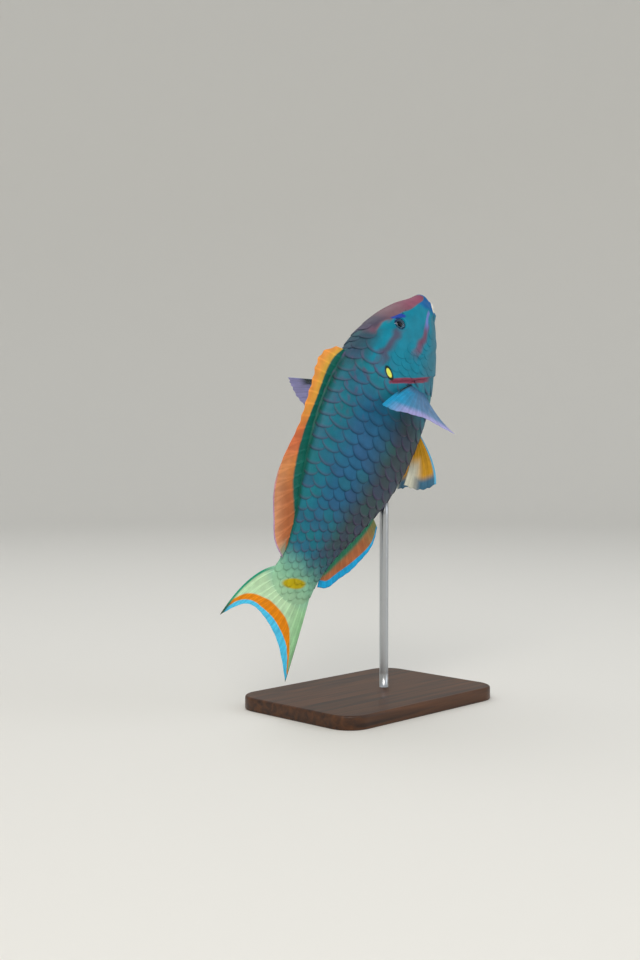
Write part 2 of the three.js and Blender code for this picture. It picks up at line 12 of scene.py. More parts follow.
import bpy
import numpy as np
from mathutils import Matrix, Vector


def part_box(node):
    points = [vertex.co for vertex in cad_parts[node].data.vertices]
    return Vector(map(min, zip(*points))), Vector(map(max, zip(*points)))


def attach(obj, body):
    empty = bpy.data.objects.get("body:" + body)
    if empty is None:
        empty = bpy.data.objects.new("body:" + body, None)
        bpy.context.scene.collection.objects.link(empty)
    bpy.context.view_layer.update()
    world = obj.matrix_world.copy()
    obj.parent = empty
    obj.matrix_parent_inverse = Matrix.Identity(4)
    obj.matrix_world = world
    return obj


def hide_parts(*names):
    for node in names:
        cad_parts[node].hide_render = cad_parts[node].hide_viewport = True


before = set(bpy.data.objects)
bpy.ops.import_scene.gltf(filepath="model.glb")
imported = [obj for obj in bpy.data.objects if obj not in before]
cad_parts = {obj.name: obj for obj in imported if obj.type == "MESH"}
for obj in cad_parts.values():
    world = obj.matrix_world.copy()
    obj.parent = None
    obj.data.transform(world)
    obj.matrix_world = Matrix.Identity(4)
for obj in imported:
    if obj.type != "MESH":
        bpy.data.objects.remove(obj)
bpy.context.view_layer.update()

MM = 0.001
RNG = np.random.default_rng(7)
rad = math.radians

# The pose, and the fish's place over the stand.
LENGTH = 300
NOSE_UP = rad(56.8)
HEAD_TURN = rad(5.1)
TAIL_SWEEP = rad(7.9)
STRAIGHT = (0.45, 0.55)
AXIS_UP = 235.245

# Stations of the body: s, back and belly over the axis, half the breadth, as shares of the length.
STATIONS = np.array([
    (-0.008, 0.034, 0.030, 0.0015),
    (-0.004, 0.051, 0.017, 0.017),
    (0.01, 0.062, -0.027, 0.027),
    (0.03, 0.076, -0.039, 0.038),
    (0.08, 0.118, -0.075, 0.061),
    (0.15, 0.160, -0.121, 0.0775),
    (0.24, 0.196, -0.161, 0.089),
    (0.34, 0.212, -0.188, 0.091),
    (0.46, 0.218, -0.197, 0.087),
    (0.60, 0.196, -0.181, 0.073),
    (0.74, 0.148, -0.136, 0.052),
    (0.86, 0.098, -0.092, 0.035),
    (0.94, 0.083, -0.081, 0.024),
    (1.00, 0.086, -0.086, 0.012),
    (1.04, 0.074, -0.074, 0.004),
])
SNOUT_AT = -0.008
SECTION_POWER = 0.92
LIPS = {"at": 0.026, "width": 0.011, "swell": 0.8}

# The gill opening, from the throat to its upper corner, and where scales start on the nape.
THROAT_AT = 0.17
CORNER = {"at": 0.338, "height": 0.3}
NAPE_AT = 0.3
GILL_CURVE = 1.4
MARGIN_BEHIND = 0.005
NAPE_SCALES_AT = 0.205

# Mouth, beak, nostrils and eyes, in the sizes of the solids.
MOUTH = {"corner": 0.047, "drop": -1.8, "fall": 31.5}
GAPE = {"deep": 13, "wide": 30, "tall": 4.6, "rise": 0.7, "round": 0.35}
BEAK = {"at": 0.021, "drop": -1.8, "radii": np.array([9.8, 8.6, 7.6]), "overbite": 1.2, "wall": 2.2}
NOSTRILS = [(0.100, rad(50), 0.9), (0.115, rad(49), 1.3)]
EYE = {"at": 0.156, "angle": rad(41), "radius": 6.8, "depth": 4.6, "proud": 1.7, "shown": 5.45}
PUPIL = 2.9

# The tail root, where the skin runs out on to the fin.
TAIL_END = {"at": 0.99, "bow": 0.048, "taper": 0.05}

# Scales: rows a side, spacing along a row at the gills and at the tail, and how each stands.
ROWS = 9
ROW = 16
SPACING = {"front": 12.0, "tail": 8.6}
SCALE = {"long": 18.6, "half": 10.8, "arc": 8.4, "root": -0.8, "tip": 0.3, "crown": 0.18, "thick": 0.27}
BED = 0.75
COVER_LIP = 1.0


def smooth(start, end, x):
    """0 before start, 1 after end, and an even rise between. Start may be the larger."""
    t = np.clip((x - start) / (end - start), 0, 1)
    return t * t * (3 - 2 * t)


def ramp(start, end, x):
    """A straight line through 0 at start and 1 at end, that runs on a little past both."""
    return np.clip((x - start) / (end - start), -2, 3)


def both(*ramps):
    """The least of several ramps: a mask that lies inside all of them."""
    least = ramps[0]
    for other in ramps[1:]:
        least = np.minimum(least, other)
    return least


def hill(x, width):
    """A round bump: 1 in the middle, and almost nothing two widths away."""
    return np.exp(-((x / width) ** 2))


def table(x, pairs):
    """Straight lines through pairs of x and value."""
    return np.interp(x, [p[0] for p in pairs], [p[1] for p in pairs])


def cubic(places, values, at):
    """A smooth curve through values at places, as the solids' sections are read off."""
    at = np.clip(at, places[0], places[-1])
    last = len(places) - 1
    i = np.clip(np.searchsorted(places, at, side="right"), 1, last)
    t0, t1 = places[i - 1], places[i]
    before = np.where(i == 1, t1, places[np.maximum(i - 2, 0)])
    after = np.where(i == last, t0, places[np.minimum(i + 1, last)])
    wp = ((t1 - t0) / 2 / (t0 - before))[..., None]
    wn = ((t1 - t0) / 2 / (after - t1))[..., None]
    p = ((at - t0) / (t1 - t0))[..., None]
    ends = values[np.where(i == 1, i, i - 2)], values[np.where(i == last, i - 1, np.minimum(i + 1, last))]
    return (
        -wp * p * (1 - p) ** 2 * ends[0]
        + ((1 + wp) * p**3 + (-1.5 - 2 * wp) * p**2 + (wp - 0.5) * p + 1) * values[i - 1]
        + ((-1 - wn) * p**3 + (1.5 + wn) * p**2 + 0.5 * p) * values[i]
        + wn * p**2 * (p - 1) * ends[1]
    )


def section(s):
    """Back, belly and half breadth at s, in millimetres."""
    s = np.asarray(s, float)
    places = np.sqrt(STATIONS[:, 0] - SNOUT_AT)
    rows = cubic(places, STATIONS[:, 1:] * LENGTH, np.sqrt(np.maximum(s - SNOUT_AT, 0)))
    return rows[..., 0], rows[..., 1], rows[..., 2]


def place(s, y, z):
    """A point beside the axis at s. The axis turns evenly more and more towards each end."""
    s, y, z = np.broadcast_arrays(np.asarray(s, float), y, z)
    front = s < 0.5
    run = np.where(front, np.maximum(0, STRAIGHT[0] - s), np.minimum(0, STRAIGHT[1] - s))
    turn = -np.where(front, HEAD_TURN, TAIL_SWEEP) * np.abs(run) / STRAIGHT[0]
    along = (0.5 - s - run * turn**2 / 6) * LENGTH
    return np.stack([along - np.sin(turn) * y, run * turn / 2 * LENGTH + np.cos(turn) * y, z], -1)


def rounded(x):
    """Fills out a sine or cosine, so that the body's sections are a little squarer than ovals."""
    return np.sign(x) * np.abs(x) ** SECTION_POWER


def tail_end(angle):
    """Where the skin ends: later on the flanks than along the back and the belly."""
    return TAIL_END["at"] + TAIL_END["bow"] * np.abs(np.cos(angle))


def skin(s, angle, lift=0):
    """A point on the body, or lifted off it. The tail root thins out to nothing on the fin."""
    back, belly, half = section(s)
    out = lift + LIPS["swell"] * (1 - np.sin(angle)) * hill(s - LIPS["at"], LIPS["width"])
    past = np.clip(1 - (tail_end(angle) - s) / TAIL_END["taper"], 0, 1)
    y = (half + out) * rounded(np.cos(angle)) * np.sqrt(1 - past**2)
    z = (back + belly) / 2 + ((back - belly) / 2 + out) * rounded(np.sin(angle))
    return place(s, y, z)


def outwards(s, angle, step=0.002):
    """The direction straight out of the skin."""
    along = skin(s - step, angle) - skin(s + step, angle)
    normal = -np.cross(along, skin(s, angle + step) - skin(s, angle - step))
    return normal / np.linalg.norm(normal, axis=-1, keepdims=True)


def lifted(s, angle, lift):
    """A point lifted off the skin: straight out on the head, and out of the axis further back."""
    ahead = smooth(0.3, 0.22, s)
    return skin(s, angle, lift * (1 - ahead)) + outwards(s, angle) * (lift * ahead)[..., None]


def to_row(points):
    """Turns points nose up, lifts them over the stand and gives metres in the part's frame."""
    x, y, z = np.moveaxis(points, -1, 0)
    cos, sin = math.cos(NOSE_UP), math.sin(NOSE_UP)
    return np.stack([x * cos - z * sin, y, x * sin + z * cos + AXIS_UP], -1) * MM


def elevation(angle):
    """An angle round the body, folded on to one side."""
    return np.arcsin(np.clip(np.sin(angle), -1, 1))


def sided(angle, side):
    """An angle of the left side, taken to the right one where side is negative."""
    return angle if side > 0 else math.pi - angle


def gill_seam(elev):
    """Where the gill opening runs: up and back from the throat to its corner, then to the nape."""
    height = np.sin(elev)
    rise = np.minimum(1, (height + 1) / (CORNER["height"] + 1))
    over = np.maximum(0, height - CORNER["height"]) / (1 - CORNER["height"])
    low = THROAT_AT + (CORNER["at"] - THROAT_AT) * rise**GILL_CURVE
    return low + (NAPE_AT - CORNER["at"]) * over * (2 - over)


def behind_gills(s, elev):
    """How far behind the free edge of the gill cover, in millimetres."""
    return (s - gill_seam(elev) - MARGIN_BEHIND) * LENGTH


def gill_slit(elev):
    """1 where the gill cover's rear edge is free, and 0 above its corner and under the throat."""
    return smooth(rad(23), rad(13), elev) * smooth(rad(-78), rad(-44), elev)


def scales_from(elev):
    """Where the body's scales start: at the gill cover's edge, and further ahead on the nape."""
    up = smooth(rad(17), rad(70), elev)
    return (gill_seam(elev) + MARGIN_BEHIND) * (1 - up) + NAPE_SCALES_AT * up


# Pieces.


def make_mesh(name, points, faces):
    """A mesh of points in the part's frame, turned the right way out."""
    mesh = bpy.data.meshes.new(name)
    mesh.from_pydata(points.reshape(-1, 3).tolist(), [], faces)
    mesh.update()
    corners = np.zeros(len(mesh.loops), np.int32)
    mesh.loops.foreach_get("vertex_index", corners)
    mesh.calc_loop_triangles()
    triangles = np.zeros(len(mesh.loop_triangles) * 3, np.int32)
    mesh.loop_triangles.foreach_get("vertices", triangles)
    a, b, c = points.reshape(-1, 3)[triangles.reshape(-1, 3)].transpose(1, 0, 2)
    if np.einsum("ij,ij->i", a, np.cross(b, c)).sum() < 0:
        mesh.flip_normals()
    return mesh


def show(name, mesh, material, nodes=()):
    """Puts a piece in the scene, shaded smooth and in the place of its nodes."""
    piece = bpy.data.objects.new(name, mesh)
    bpy.context.scene.collection.objects.link(piece)
    mesh.materials.clear()
    mesh.materials.append(material)
    mesh.polygons.foreach_set("use_smooth", [True] * len(mesh.polygons))
    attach(piece, "root")
    if nodes:
        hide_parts(*nodes)
    return piece


def write(mesh, values):
    """Stores one number a point under each name."""
    for name, value in values.items():
        layer = mesh.attributes.new(name, "FLOAT", "POINT")
        layer.data.foreach_set("value", np.asarray(value, np.float32).ravel())


def read(mesh, name):
    """One number a point, as write stores them."""
    data = mesh.attributes[name].data
    values = np.zeros(len(data), np.float32)
    data.foreach_get("value", values)
    return values.astype(float)


def grid_faces(rows, columns, start=0, wrap=False):
    """Quads between rows of points, closed round where the columns wrap."""
    i, j = np.meshgrid(np.arange(rows - 1), np.arange(columns if wrap else columns - 1), indexing="ij")
    k = (j + 1) % columns
    quads = np.stack([i * columns + j, i * columns + k, (i + 1) * columns + k, (i + 1) * columns + j], -1)
    return (quads.reshape(-1, 4) + start).tolist()


def rim_faces(rows, columns, other):
    """Quads that join the edges of two grids of points, the second of which starts at other."""
    ring = list(range(columns - 1))
    ring += [i * columns + columns - 1 for i in range(rows - 1)]
    ring += [(rows - 1) * columns + j for j in range(columns - 1, 0, -1)]
    ring += [i * columns for i in range(rows - 1, 0, -1)]
    return [(b, a, other + a, other + b) for a, b in zip(ring, ring[1:] + ring[:1])]


def slab(first, second):
    """Points and faces of a closed body between two grids of points of the same shape."""
    rows, columns = first.shape[:2]
    other = rows * columns
    back = [face[::-1] for face in grid_faces(rows, columns, other)]
    points = np.concatenate([first.reshape(-1, 3), second.reshape(-1, 3)])
    return points, grid_faces(rows, columns) + back + rim_faces(rows, columns, other)


def crowded(low, high, count, places):
    """Values from low to high that lie closer near each place, by its width and gain."""
    fine = np.linspace(low, high, 6001)
    weight = 1 + sum(gain * hill(fine - at, width) for at, width, gain in places)
    run = np.concatenate([[0], np.cumsum(weight[1:] + weight[:-1])])
    return np.interp(np.linspace(0, run[-1], count), run, fine)


# Nodes.


def add(tree, kind, inputs=None, **settings):
    """Adds a node with its settings and links, and gives its first output in use."""
    node = tree.nodes.new(kind)
    for key, value in settings.items():
        setattr(node, key, value)
    for key, value in (inputs or {}).items():
        if isinstance(value, bpy.types.NodeSocket):
            tree.links.new(value, node.inputs[key])
        else:
            node.inputs[key].default_value = value
    return next((socket for socket in node.outputs if socket.enabled), None)


def linear(colour):
    """An sRGB hex colour as the linear colour that shaders take."""
    parts = [int(colour[i : i + 2], 16) / 255 for i in (0, 2, 4)]
    return (*[c / 12.92 if c <= 0.04045 else ((c + 0.055) / 1.055) ** 2.4 for c in parts], 1)


def tree_of(name, inputs):
    """A Geometry Nodes tree with named inputs, and its input sockets."""
    tree = bpy.data.node_groups.new(name, "GeometryNodeTree")
    for label, kind in [("Mesh", "Geometry"), *inputs, ("Finish", "Material")]:
        tree.interface.new_socket(label, in_out="INPUT", socket_type=f"NodeSocket{kind}")
    tree.interface.new_socket("Mesh", in_out="OUTPUT", socket_type="NodeSocketGeometry")
    return tree, add(tree, "NodeGroupInput").node.outputs


def end_tree(tree, given, made):
    """Makes instances real, gives them their finish and ends the tree."""
    real = add(tree, "GeometryNodeRealizeInstances", {0: made})
    real = add(tree, "GeometryNodeSetMaterial", {"Geometry": real, "Material": given["Finish"]})
    add(tree, "NodeGroupOutput", {0: real})


def run_tree(tree, mesh, values):
    """Runs a tree on a mesh and gives the plain mesh that it makes."""
    holder = bpy.data.objects.new("holder", mesh)
    bpy.context.scene.collection.objects.link(holder)
    modifier = holder.modifiers.new("tree", "NODES")
    modifier.node_group = tree
    for item in tree.interface.items_tree:
        if item.in_out == "INPUT" and item.name in values:
            modifier[item.identifier] = values[item.name]
    graph = bpy.context.evaluated_depsgraph_get()
    made = bpy.data.meshes.new_from_object(
        holder.evaluated_get(graph), preserve_all_data_layers=True, depsgraph=graph
    )
    holder.modifiers.clear()
    bpy.data.objects.remove(holder)
    return made


# Markings. Each is a ramp, the same on the skin and on the scales. The paint starts where it
# passes 0 and covers fully where it passes 1.


def waver(s, angle, size, seed):
    """An even, patternless swing between about -1 and 1 over patches of a size in millimetres."""
    rng = np.random.default_rng(seed)
    x, y, z = s * LENGTH, 55 * np.cos(angle), 55 * np.sin(angle)
    total = 0
    for k in range(6):
        way = rng.standard_normal(3)
        way *= 2 * math.pi / size * (0.7 + 0.16 * k) / np.linalg.norm(way)
        total = total + np.sin(way[0] * x + way[1] * y + way[2] * z + rng.uniform(0, 6.3))
    return total / 2.6


def oval(s, deg, at, up, long, tall, lean=0.0):
    """How far out of an oval patch a point lies, from 0 in its middle to 1 on its edge."""
    return np.hypot((s - at + (deg - up) * lean) / long, (deg - up) / tall)


def markings(s, angle):
    """Every marking of the body at a point, by its name."""
    elev = elevation(angle)
    true = np.degrees(elev)
    behind = behind_gills(s, elev)
    high = np.sin(elev)
    spot = oval(s, true, 0.3195, 22.2, 0.0085, 4.4, lean=0.0014)
    axil = oval(s, true, 0.299, -1, 0.012, 7)
    gold = np.hypot((s - 0.981 - 0.035 * high) / 0.0165, (high - 0.06) / 0.41)
    stripe = behind - table(true, [(-24, 1.6), (-12, 0.6), (0, 0.2), (16, -0.9)])
    # The larger patches have uneven edges.
    front = smooth(SNOUT_AT, 0.006, s)
    s = s + 0.0042 * waver(s, angle, 21, 4) * front
    deg = true + 2.2 * waver(s, angle, 17, 5)
    low = table(s, [
        (0.003, 38), (0.035, 39.5), (0.076, 44), (0.114, 49.5),
        (0.151, 55), (0.188, 62), (0.225, 60), (0.3, 66),
    ])
    bar = table(s, [(0.03, 1), (0.048, 0), (0.071, -3), (0.11, -0.5), (0.16, 1.2), (0.21, 3), (0.24, 4)])
    brow = oval(s, deg, 0.136, 51, 0.0115, 10, lean=-0.0013)
    patchy = waver(s, angle, 8, 8)
    rear_rose = oval(s, deg, 0.222, 68, 0.022, 10)
    return {
        "face": both(ramp(0.42, 0.3, s), ramp(64, 40, deg)),
        "flank": both(ramp(-34, 4, deg), ramp(56, 16, deg), ramp(0.34, 0.48, s), ramp(0.86, 0.68, s)),
        # Painted shade: the underside is painted dark grey, the shade that lay under the body.
        "belly": both(ramp(10, -22, deg), ramp(0.25, 0.44, s), ramp(0.97, 0.8, s)),
        "chin": both(ramp(-3, -22, deg), ramp(0.34, 0.2, s)),
        "back": both(ramp(72, 85, deg), ramp(0.3, 0.36, s), ramp(0.97, 0.9, s)),
        "nape": both(ramp(42, 74, deg), ramp(0.19, 0.24, s), ramp(0.44, 0.29, s)),
        "dabs": 0.75 * both(
            ramp(0.1, 1.3, patchy), ramp(10, 44, deg), ramp(0.27, 0.34, s), ramp(0.66, 0.4, s)
        ),
        "mint": ramp(0.885, 0.985, s),
        "tail_root": ramp(0.965, 1.03, s),
        "forehead": both(ramp(low - 3.5, low + 3.5, deg), ramp(-0.005, 0.003, s), ramp(0.25, 0.2, s)),
        "crown": 0.9 * both(ramp(low - 2, low + 10, deg), ramp(0.13, 0.18, s), ramp(0.26, 0.21, s)),
        "rose": np.maximum(
            both(ramp(low - 2, low + 9, deg), ramp(-0.004, 0.005, s), ramp(0.13, 0.03, s)),
            ramp(1.3, 0.2, rear_rose) * 0.36,
        ),
        "brow": ramp(1.15, 0.75, brow),
        "eye_bar": both(ramp(9, 1.5, np.abs(deg - 36)), ramp(0.155, 0.19, s), ramp(0.35, 0.27, s)),
        "mouth_bar": both(ramp(7.5, 0.5, np.abs(deg - bar)), ramp(0.07, 0.1, s), ramp(0.235, 0.17, s)),
        "lilac": both(ramp(5, 2, np.abs(deg - bar - 1)), ramp(0.035, 0.047, s), ramp(0.12, 0.08, s)),
        "lip": np.maximum(
            both(ramp(0.05, 0.026, s - (deg - 17) * 0.0003), ramp(low + 3, low - 3, deg)),
            ramp(0.003, -0.003, s),
        ),
        "gold_base": ramp(1.2, 0.78, gold),
        "crimson": both(
            ramp(-3.5, -2.3, stripe), ramp(3.5, 2.3, stripe), ramp(20, 16, true), ramp(-34, -20, true)
        ),
        "axil": both(ramp(1.2, 0.45, axil), ramp(2.5, 4, behind)),
        "spot_edge": ramp(1.75, 1.35, spot),
        "spot": ramp(1.1, 0.85, spot),
    }


BODY_COLOURS = [
    ("face", "04809a"),
    ("flank", "24638a"),
    # The belly's dark grey is painted shade on the underside.
    ("belly", "39494f"),
    ("chin", "35778c"),
    ("back", "0a584f"),
    ("nape", "2e4e5e"),
    ("dabs", "574f70"),
    ("mint", "8cc4a2"),
    ("tail_root", "a8d4ac"),
    ("forehead", "765862"),
    ("crown", "4c4658"),
    ("rose", "8a4860"),
    ("brow", "2143a0"),
    ("eye_bar", "4a5068"),
    ("mouth_bar", "744e68"),
    ("lilac", "6a7cc0"),
    ("lip", "0c5f9e"),
    ("gold_base", "bfaa0a"),
    ("crimson", "8a3a54"),
    ("axil", "17223c"),
    ("spot_edge", "122a28"),
    ("spot", "e8ec62"),
]


def covering(tree, mask, most=1.0):
    """How far paint covers at a point, with a soft edge, from the ramp that bounds it."""
    share = add(tree, "ShaderNodeAttribute", attribute_name=mask).node.outputs["Fac"]
    return add(tree, "ShaderNodeMapRange", {0: share, 4: most}, interpolation_type="SMOOTHSTEP")


def shader_of(material):
    return next(node for node in material.node_tree.nodes if node.type == "BSDF_PRINCIPLED")


def layered(name, base, layers, rough, coat, bump):
    """A varnished resin whose colours are laid over one another by the piece's own masks."""
    material = bpy.data.materials.new(name)
    material.use_nodes = True
    tree = material.node_tree
    tree.nodes.clear()
    where = add(tree, "ShaderNodeTexCoord").node.outputs["Object"]
    colour = linear(base)
    for mask, over in layers:
        share = covering(tree, mask)
        colour = add(
            tree, "ShaderNodeMix", {0: share, 6: colour, 7: linear(over)}, data_type="RGBA"
        )
    # Airbrushed colour is never quite even: soft clouds about 9 mm across.
    cloud = add(tree, "ShaderNodeTexNoise", {"Vector": where, "Scale": 1 / (9 * MM), "Detail": 3})
    cloud = add(tree, "ShaderNodeMapRange", {0: cloud, 1: 0.3, 2: 0.7, 3: 0.86, 4: 1.1})
    colour = add(tree, "ShaderNodeVectorMath", {0: colour, 1: cloud}, operation="MULTIPLY")
    shader = add(
        tree,
        "ShaderNodeBsdfPrincipled",
        {
            "Base Color": colour,
            "Roughness": rough,
            "IOR": 1.33,
            "Specular IOR Level": 0.26,
            "Coat Weight": coat,
            "Coat Roughness": 0.2,
            "Coat IOR": 1.4,
        },
    )
    grain = add(tree, "ShaderNodeTexNoise", {"Vector": where, "Scale": 1 / (bump[0] * MM), "Detail": 4})
    normal = add(
        tree, "ShaderNodeBump", {"Height": grain, "Strength": bump[1], "Distance": bump[0] * 0.4 * MM}
    )
    tree.links.new(normal, shader.node.inputs["Normal"])
    add(tree, "ShaderNodeOutputMaterial", {"Surface": shader})
    return material


# Skin. It lies under the solids' surface by the depth of the scales, and carries lips, sockets,
# nostrils and the free edge of the gill covers.


def relief(s, angle):
    """How far the skin stands out at a point, or is sunk in where it is negative."""
    base = skin(s, angle)
    elev = elevation(angle)
    side = np.cos(angle) >= 0
    behind = behind_gills(s, elev)
    live = gill_slit(elev)
    ahead = 1 / (1 + np.exp(np.clip(behind / 0.14, -30, 30)))
    start = (s - scales_from(elev)) * LENGTH
    bedded = smooth(-5, 2, start) * (1 - live) + (1 - ahead) * live
    beside = np.abs(base[..., 1] - place(s, 0, 0)[..., 1])
    lift = -BED * bedded * (1 - 0.65 * hill(beside, 3.5))
    lift += live * (ahead * COVER_LIP * np.exp(np.minimum(behind, 0) / 9))
    lift -= live * (1 - ahead) * 0.5 * np.exp(-np.maximum(behind, 0) / 2.4)
    cheek = smooth(rad(24), rad(8), elev) * smooth(rad(-74), rad(-50), elev)
    lift += cheek * (0.45 * hill(behind + 27, 4) - 0.4 * hill(behind + 21.5, 2.6))
    jaw = (s - 0.052) * LENGTH + (elev - rad(-14)) * 16
    lift -= 0.5 * hill(jaw, 1.3) * smooth(rad(-12), rad(-22), elev) * smooth(rad(-70), rad(-50), elev)

    gap = base[..., 2] - MOUTH["drop"] + MOUTH["fall"] * s
    open_at = smooth(MOUTH["corner"] + 0.003, MOUTH["corner"] - 0.01, s)
    lips = table(s, [(-0.008, 5.3), (0.02, 5.0), (0.034, 2.8), (0.05, 1.5)])
    raised = gap - GAPE["rise"] * open_at
    lift += open_at * (0.6 * hill(np.abs(raised) - lips, 1.2) - 3.8 * hill(gap, 0.75))
    lift -= 0.6 * hill(gap, 1.6) * hill(s - MOUTH["corner"] - 0.002, 0.006)
    mouthward = base - place(BEAK["at"], 0, BEAK["drop"])
    round_beak = np.linalg.norm(mouthward / BEAK["radii"], axis=-1)
    lift += 0.2 * hill(round_beak - 1.28, 0.16) * smooth(0.05, 0.03, s)
    lift -= 4.5 * smooth(1.0, 0.7, round_beak) * smooth(0.05, 0.03, s)

    for sign in (1, -1):
        own = side == (sign > 0)
        eye = skin(EYE["at"], sided(EYE["angle"], sign))
        away = np.linalg.norm(base - eye, axis=-1)
        inward = EYE["shown"] - away
        socket = -1.2 * smooth(-0.75, 0.85, inward) - 2.6 * smooth(0.45, 1.45, inward)
        lift += own * (socket + 0.62 * hill(inward + 1.15, 0.9) + 0.35 * hill(away - 8, 3.5))
        for at, up, radius in NOSTRILS:
            pit = np.linalg.norm(base - skin(at, sided(up, sign)), axis=-1)
            hole = smooth(radius * 1.1, radius * 0.3, pit)
            lift += own * (0.28 * hill(pit - radius * 1.35, 0.5) - 1.9 * hole)
        root = skin(0.277, sided(rad(-18), sign))
        lift += own * 1.5 * hill(np.linalg.norm(base - root, axis=-1), 7)

    dorsal = (base[..., 2] > 0) * smooth(0.30, 0.33, s) * smooth(0.91, 0.88, s)
    anal = (base[..., 2] < 0) * smooth(0.65, 0.68, s) * smooth(0.90, 0.87, s)
    return lift + 1.1 * hill(beside, 1.8) * (dorsal + anal)


def gaped(points):
    """Draws points back out of the hollow between the lips, where the beak's edges stand free."""
    middle = place(BEAK["at"], 0, BEAK["drop"]) + np.array([BEAK["radii"][0], 0, 0])
    ahead, aside, over = np.moveaxis(points - middle, -1, 0)
    over = over - (ahead + BEAK["radii"][0]) * MOUTH["fall"] / LENGTH - GAPE["rise"]
    inside = 1 - (aside / GAPE["wide"]) ** 2 - (over / GAPE["tall"]) ** 2
    floor = -GAPE["deep"] * np.sqrt(np.maximum(inside, 0)) + 8 * np.maximum(-inside, 0)
    past = np.clip((ahead - floor) / GAPE["round"], -40, 40)
    out = points.copy()
    out[..., 0] -= GAPE["round"] * np.log1p(np.exp(past)) * (ahead > -20)
    return out


# The skin's rings and the points of each. They crowd where it is carved: place, width and gain,
# along it in s and round it in degrees.
SKIN_RINGS, SKIN_ROUND = 326, 296
CARVED_ALONG = [(-0.008, 0.01, 10), (0.02, 0.03, 8), (0.12, 0.05, 3.6), (0.28, 0.07, 1.8), (1, 0.04, 1.5)]
CARVED_ROUND = [
    (-90, 5, 1.2), (-12, 9, 2.2), (43, 13, 1.7), (90, 5, 2), (137, 13, 1.7), (192, 9, 2.2), (270, 5, 1.2),
]


def make_skin(material):
    """One closed skin over head, gill covers, torso and tail stock."""
    share = crowded(SNOUT_AT + 0.0002, 1, SKIN_RINGS, CARVED_ALONG)
    turn = np.radians(crowded(-90, 270, SKIN_ROUND + 1, CARVED_ROUND)[:-1])
    share, angle = np.meshgrid(share, turn, indexing="ij")
    tail = smooth(0.85, 1, share)
    s = share * (1 - tail) + (share - 1 + tail_end(angle)) * tail
    lift = relief(s, angle)
    base = skin(s, angle)
    normal = np.cross(np.gradient(base, axis=0), np.roll(base, -1, 1) - np.roll(base, 1, 1))
    normal *= np.sign((normal[9, 0] * (base[9, 0] - base[9, len(turn) // 2])).sum())
    normal /= np.maximum(np.linalg.norm(normal, axis=-1, keepdims=True), 1e-9)
    # On the head relief stands straight out of the skin, further back out of the axis.
    ahead = smooth(0.3, 0.22, s)
    points = gaped(skin(s, angle, lift * (1 - ahead)) + normal * (lift * ahead)[..., None])
    pole = place(SNOUT_AT, 0, STATIONS[0, 1:3].mean() * LENGTH)
    rows, columns = s.shape
    faces = grid_faces(rows, columns, 1, wrap=True)
    faces += [(0, 1 + (j + 1) % columns, 1 + j) for j in range(columns)]
    every = np.concatenate([pole[None], points.reshape(-1, 3)])
    last = 1 + (rows - 1) * columns
    # The last ring is flat, so its two sides share their points.
    twin = np.arange(len(every))
    ring = np.arange(columns)
    mirror = np.argmin(np.abs(np.angle(np.exp(1j * (turn[None] - (math.pi - turn[:, None]))))), axis=1)
    keep = np.cos(turn) >= 0
    twin[last + ring[~keep]] = last + mirror[~keep]
    faces = [tuple(dict.fromkeys(twin[list(face)].tolist())) for face in faces]
    faces = [face for face in faces if len(face) > 2]
    mesh = make_mesh("skin", to_row(every), faces)
    write(mesh, markings(np.append(SNOUT_AT, s), np.append(0, angle)))
    return show(
        "skin", mesh, material,
        ["head", "torso", "tail_stock", "gill_cover_left", "gill_cover_right"],
    )


# Scales, laid out flat in rows by a tree and then rolled round the body.

ARC_STEPS = 180
ARC_S = np.linspace(0, 1.06, 160)
ARC_SHARE = np.linspace(0, 1, ARC_STEPS + 1)


def arc_angles():
    """The angle at each share of the way round one side, from the belly to the back."""
    turn = np.linspace(-math.pi / 2, math.pi / 2, 361)
    rows = []
    for s in ARC_S:
        back, belly, half = section(s)
        y = half * rounded(np.cos(turn))
        z = (back - belly) / 2 * rounded(np.sin(turn))
        run = np.concatenate([[0], np.cumsum(np.hypot(np.diff(y), np.diff(z)))])
        rows.append(np.interp(ARC_SHARE, run / run[-1], turn))
    return np.array(rows)


ARC = arc_angles()


def around(s, share):
    """The angle at a share of the way round: 0 to 1 up the left side and 1 to 2 down the right."""
    share = np.mod(share, 2)
    up = np.where(share > 1, 2 - share, share)
    i = np.clip(s / ARC_S[1], 0, len(ARC_S) - 1.001)
    j = np.clip(up * ARC_STEPS, 0, ARC_STEPS - 0.001)
    i0, j0 = i.astype(int), j.astype(int)
    di, dj = i - i0, j - j0
    angle = (ARC[i0, j0] * (1 - di) + ARC[i0 + 1, j0] * di) * (1 - dj)
    angle += (ARC[i0, j0 + 1] * (1 - di) + ARC[i0 + 1, j0 + 1] * di) * dj
    return np.where(share > 1, math.pi - angle, angle)


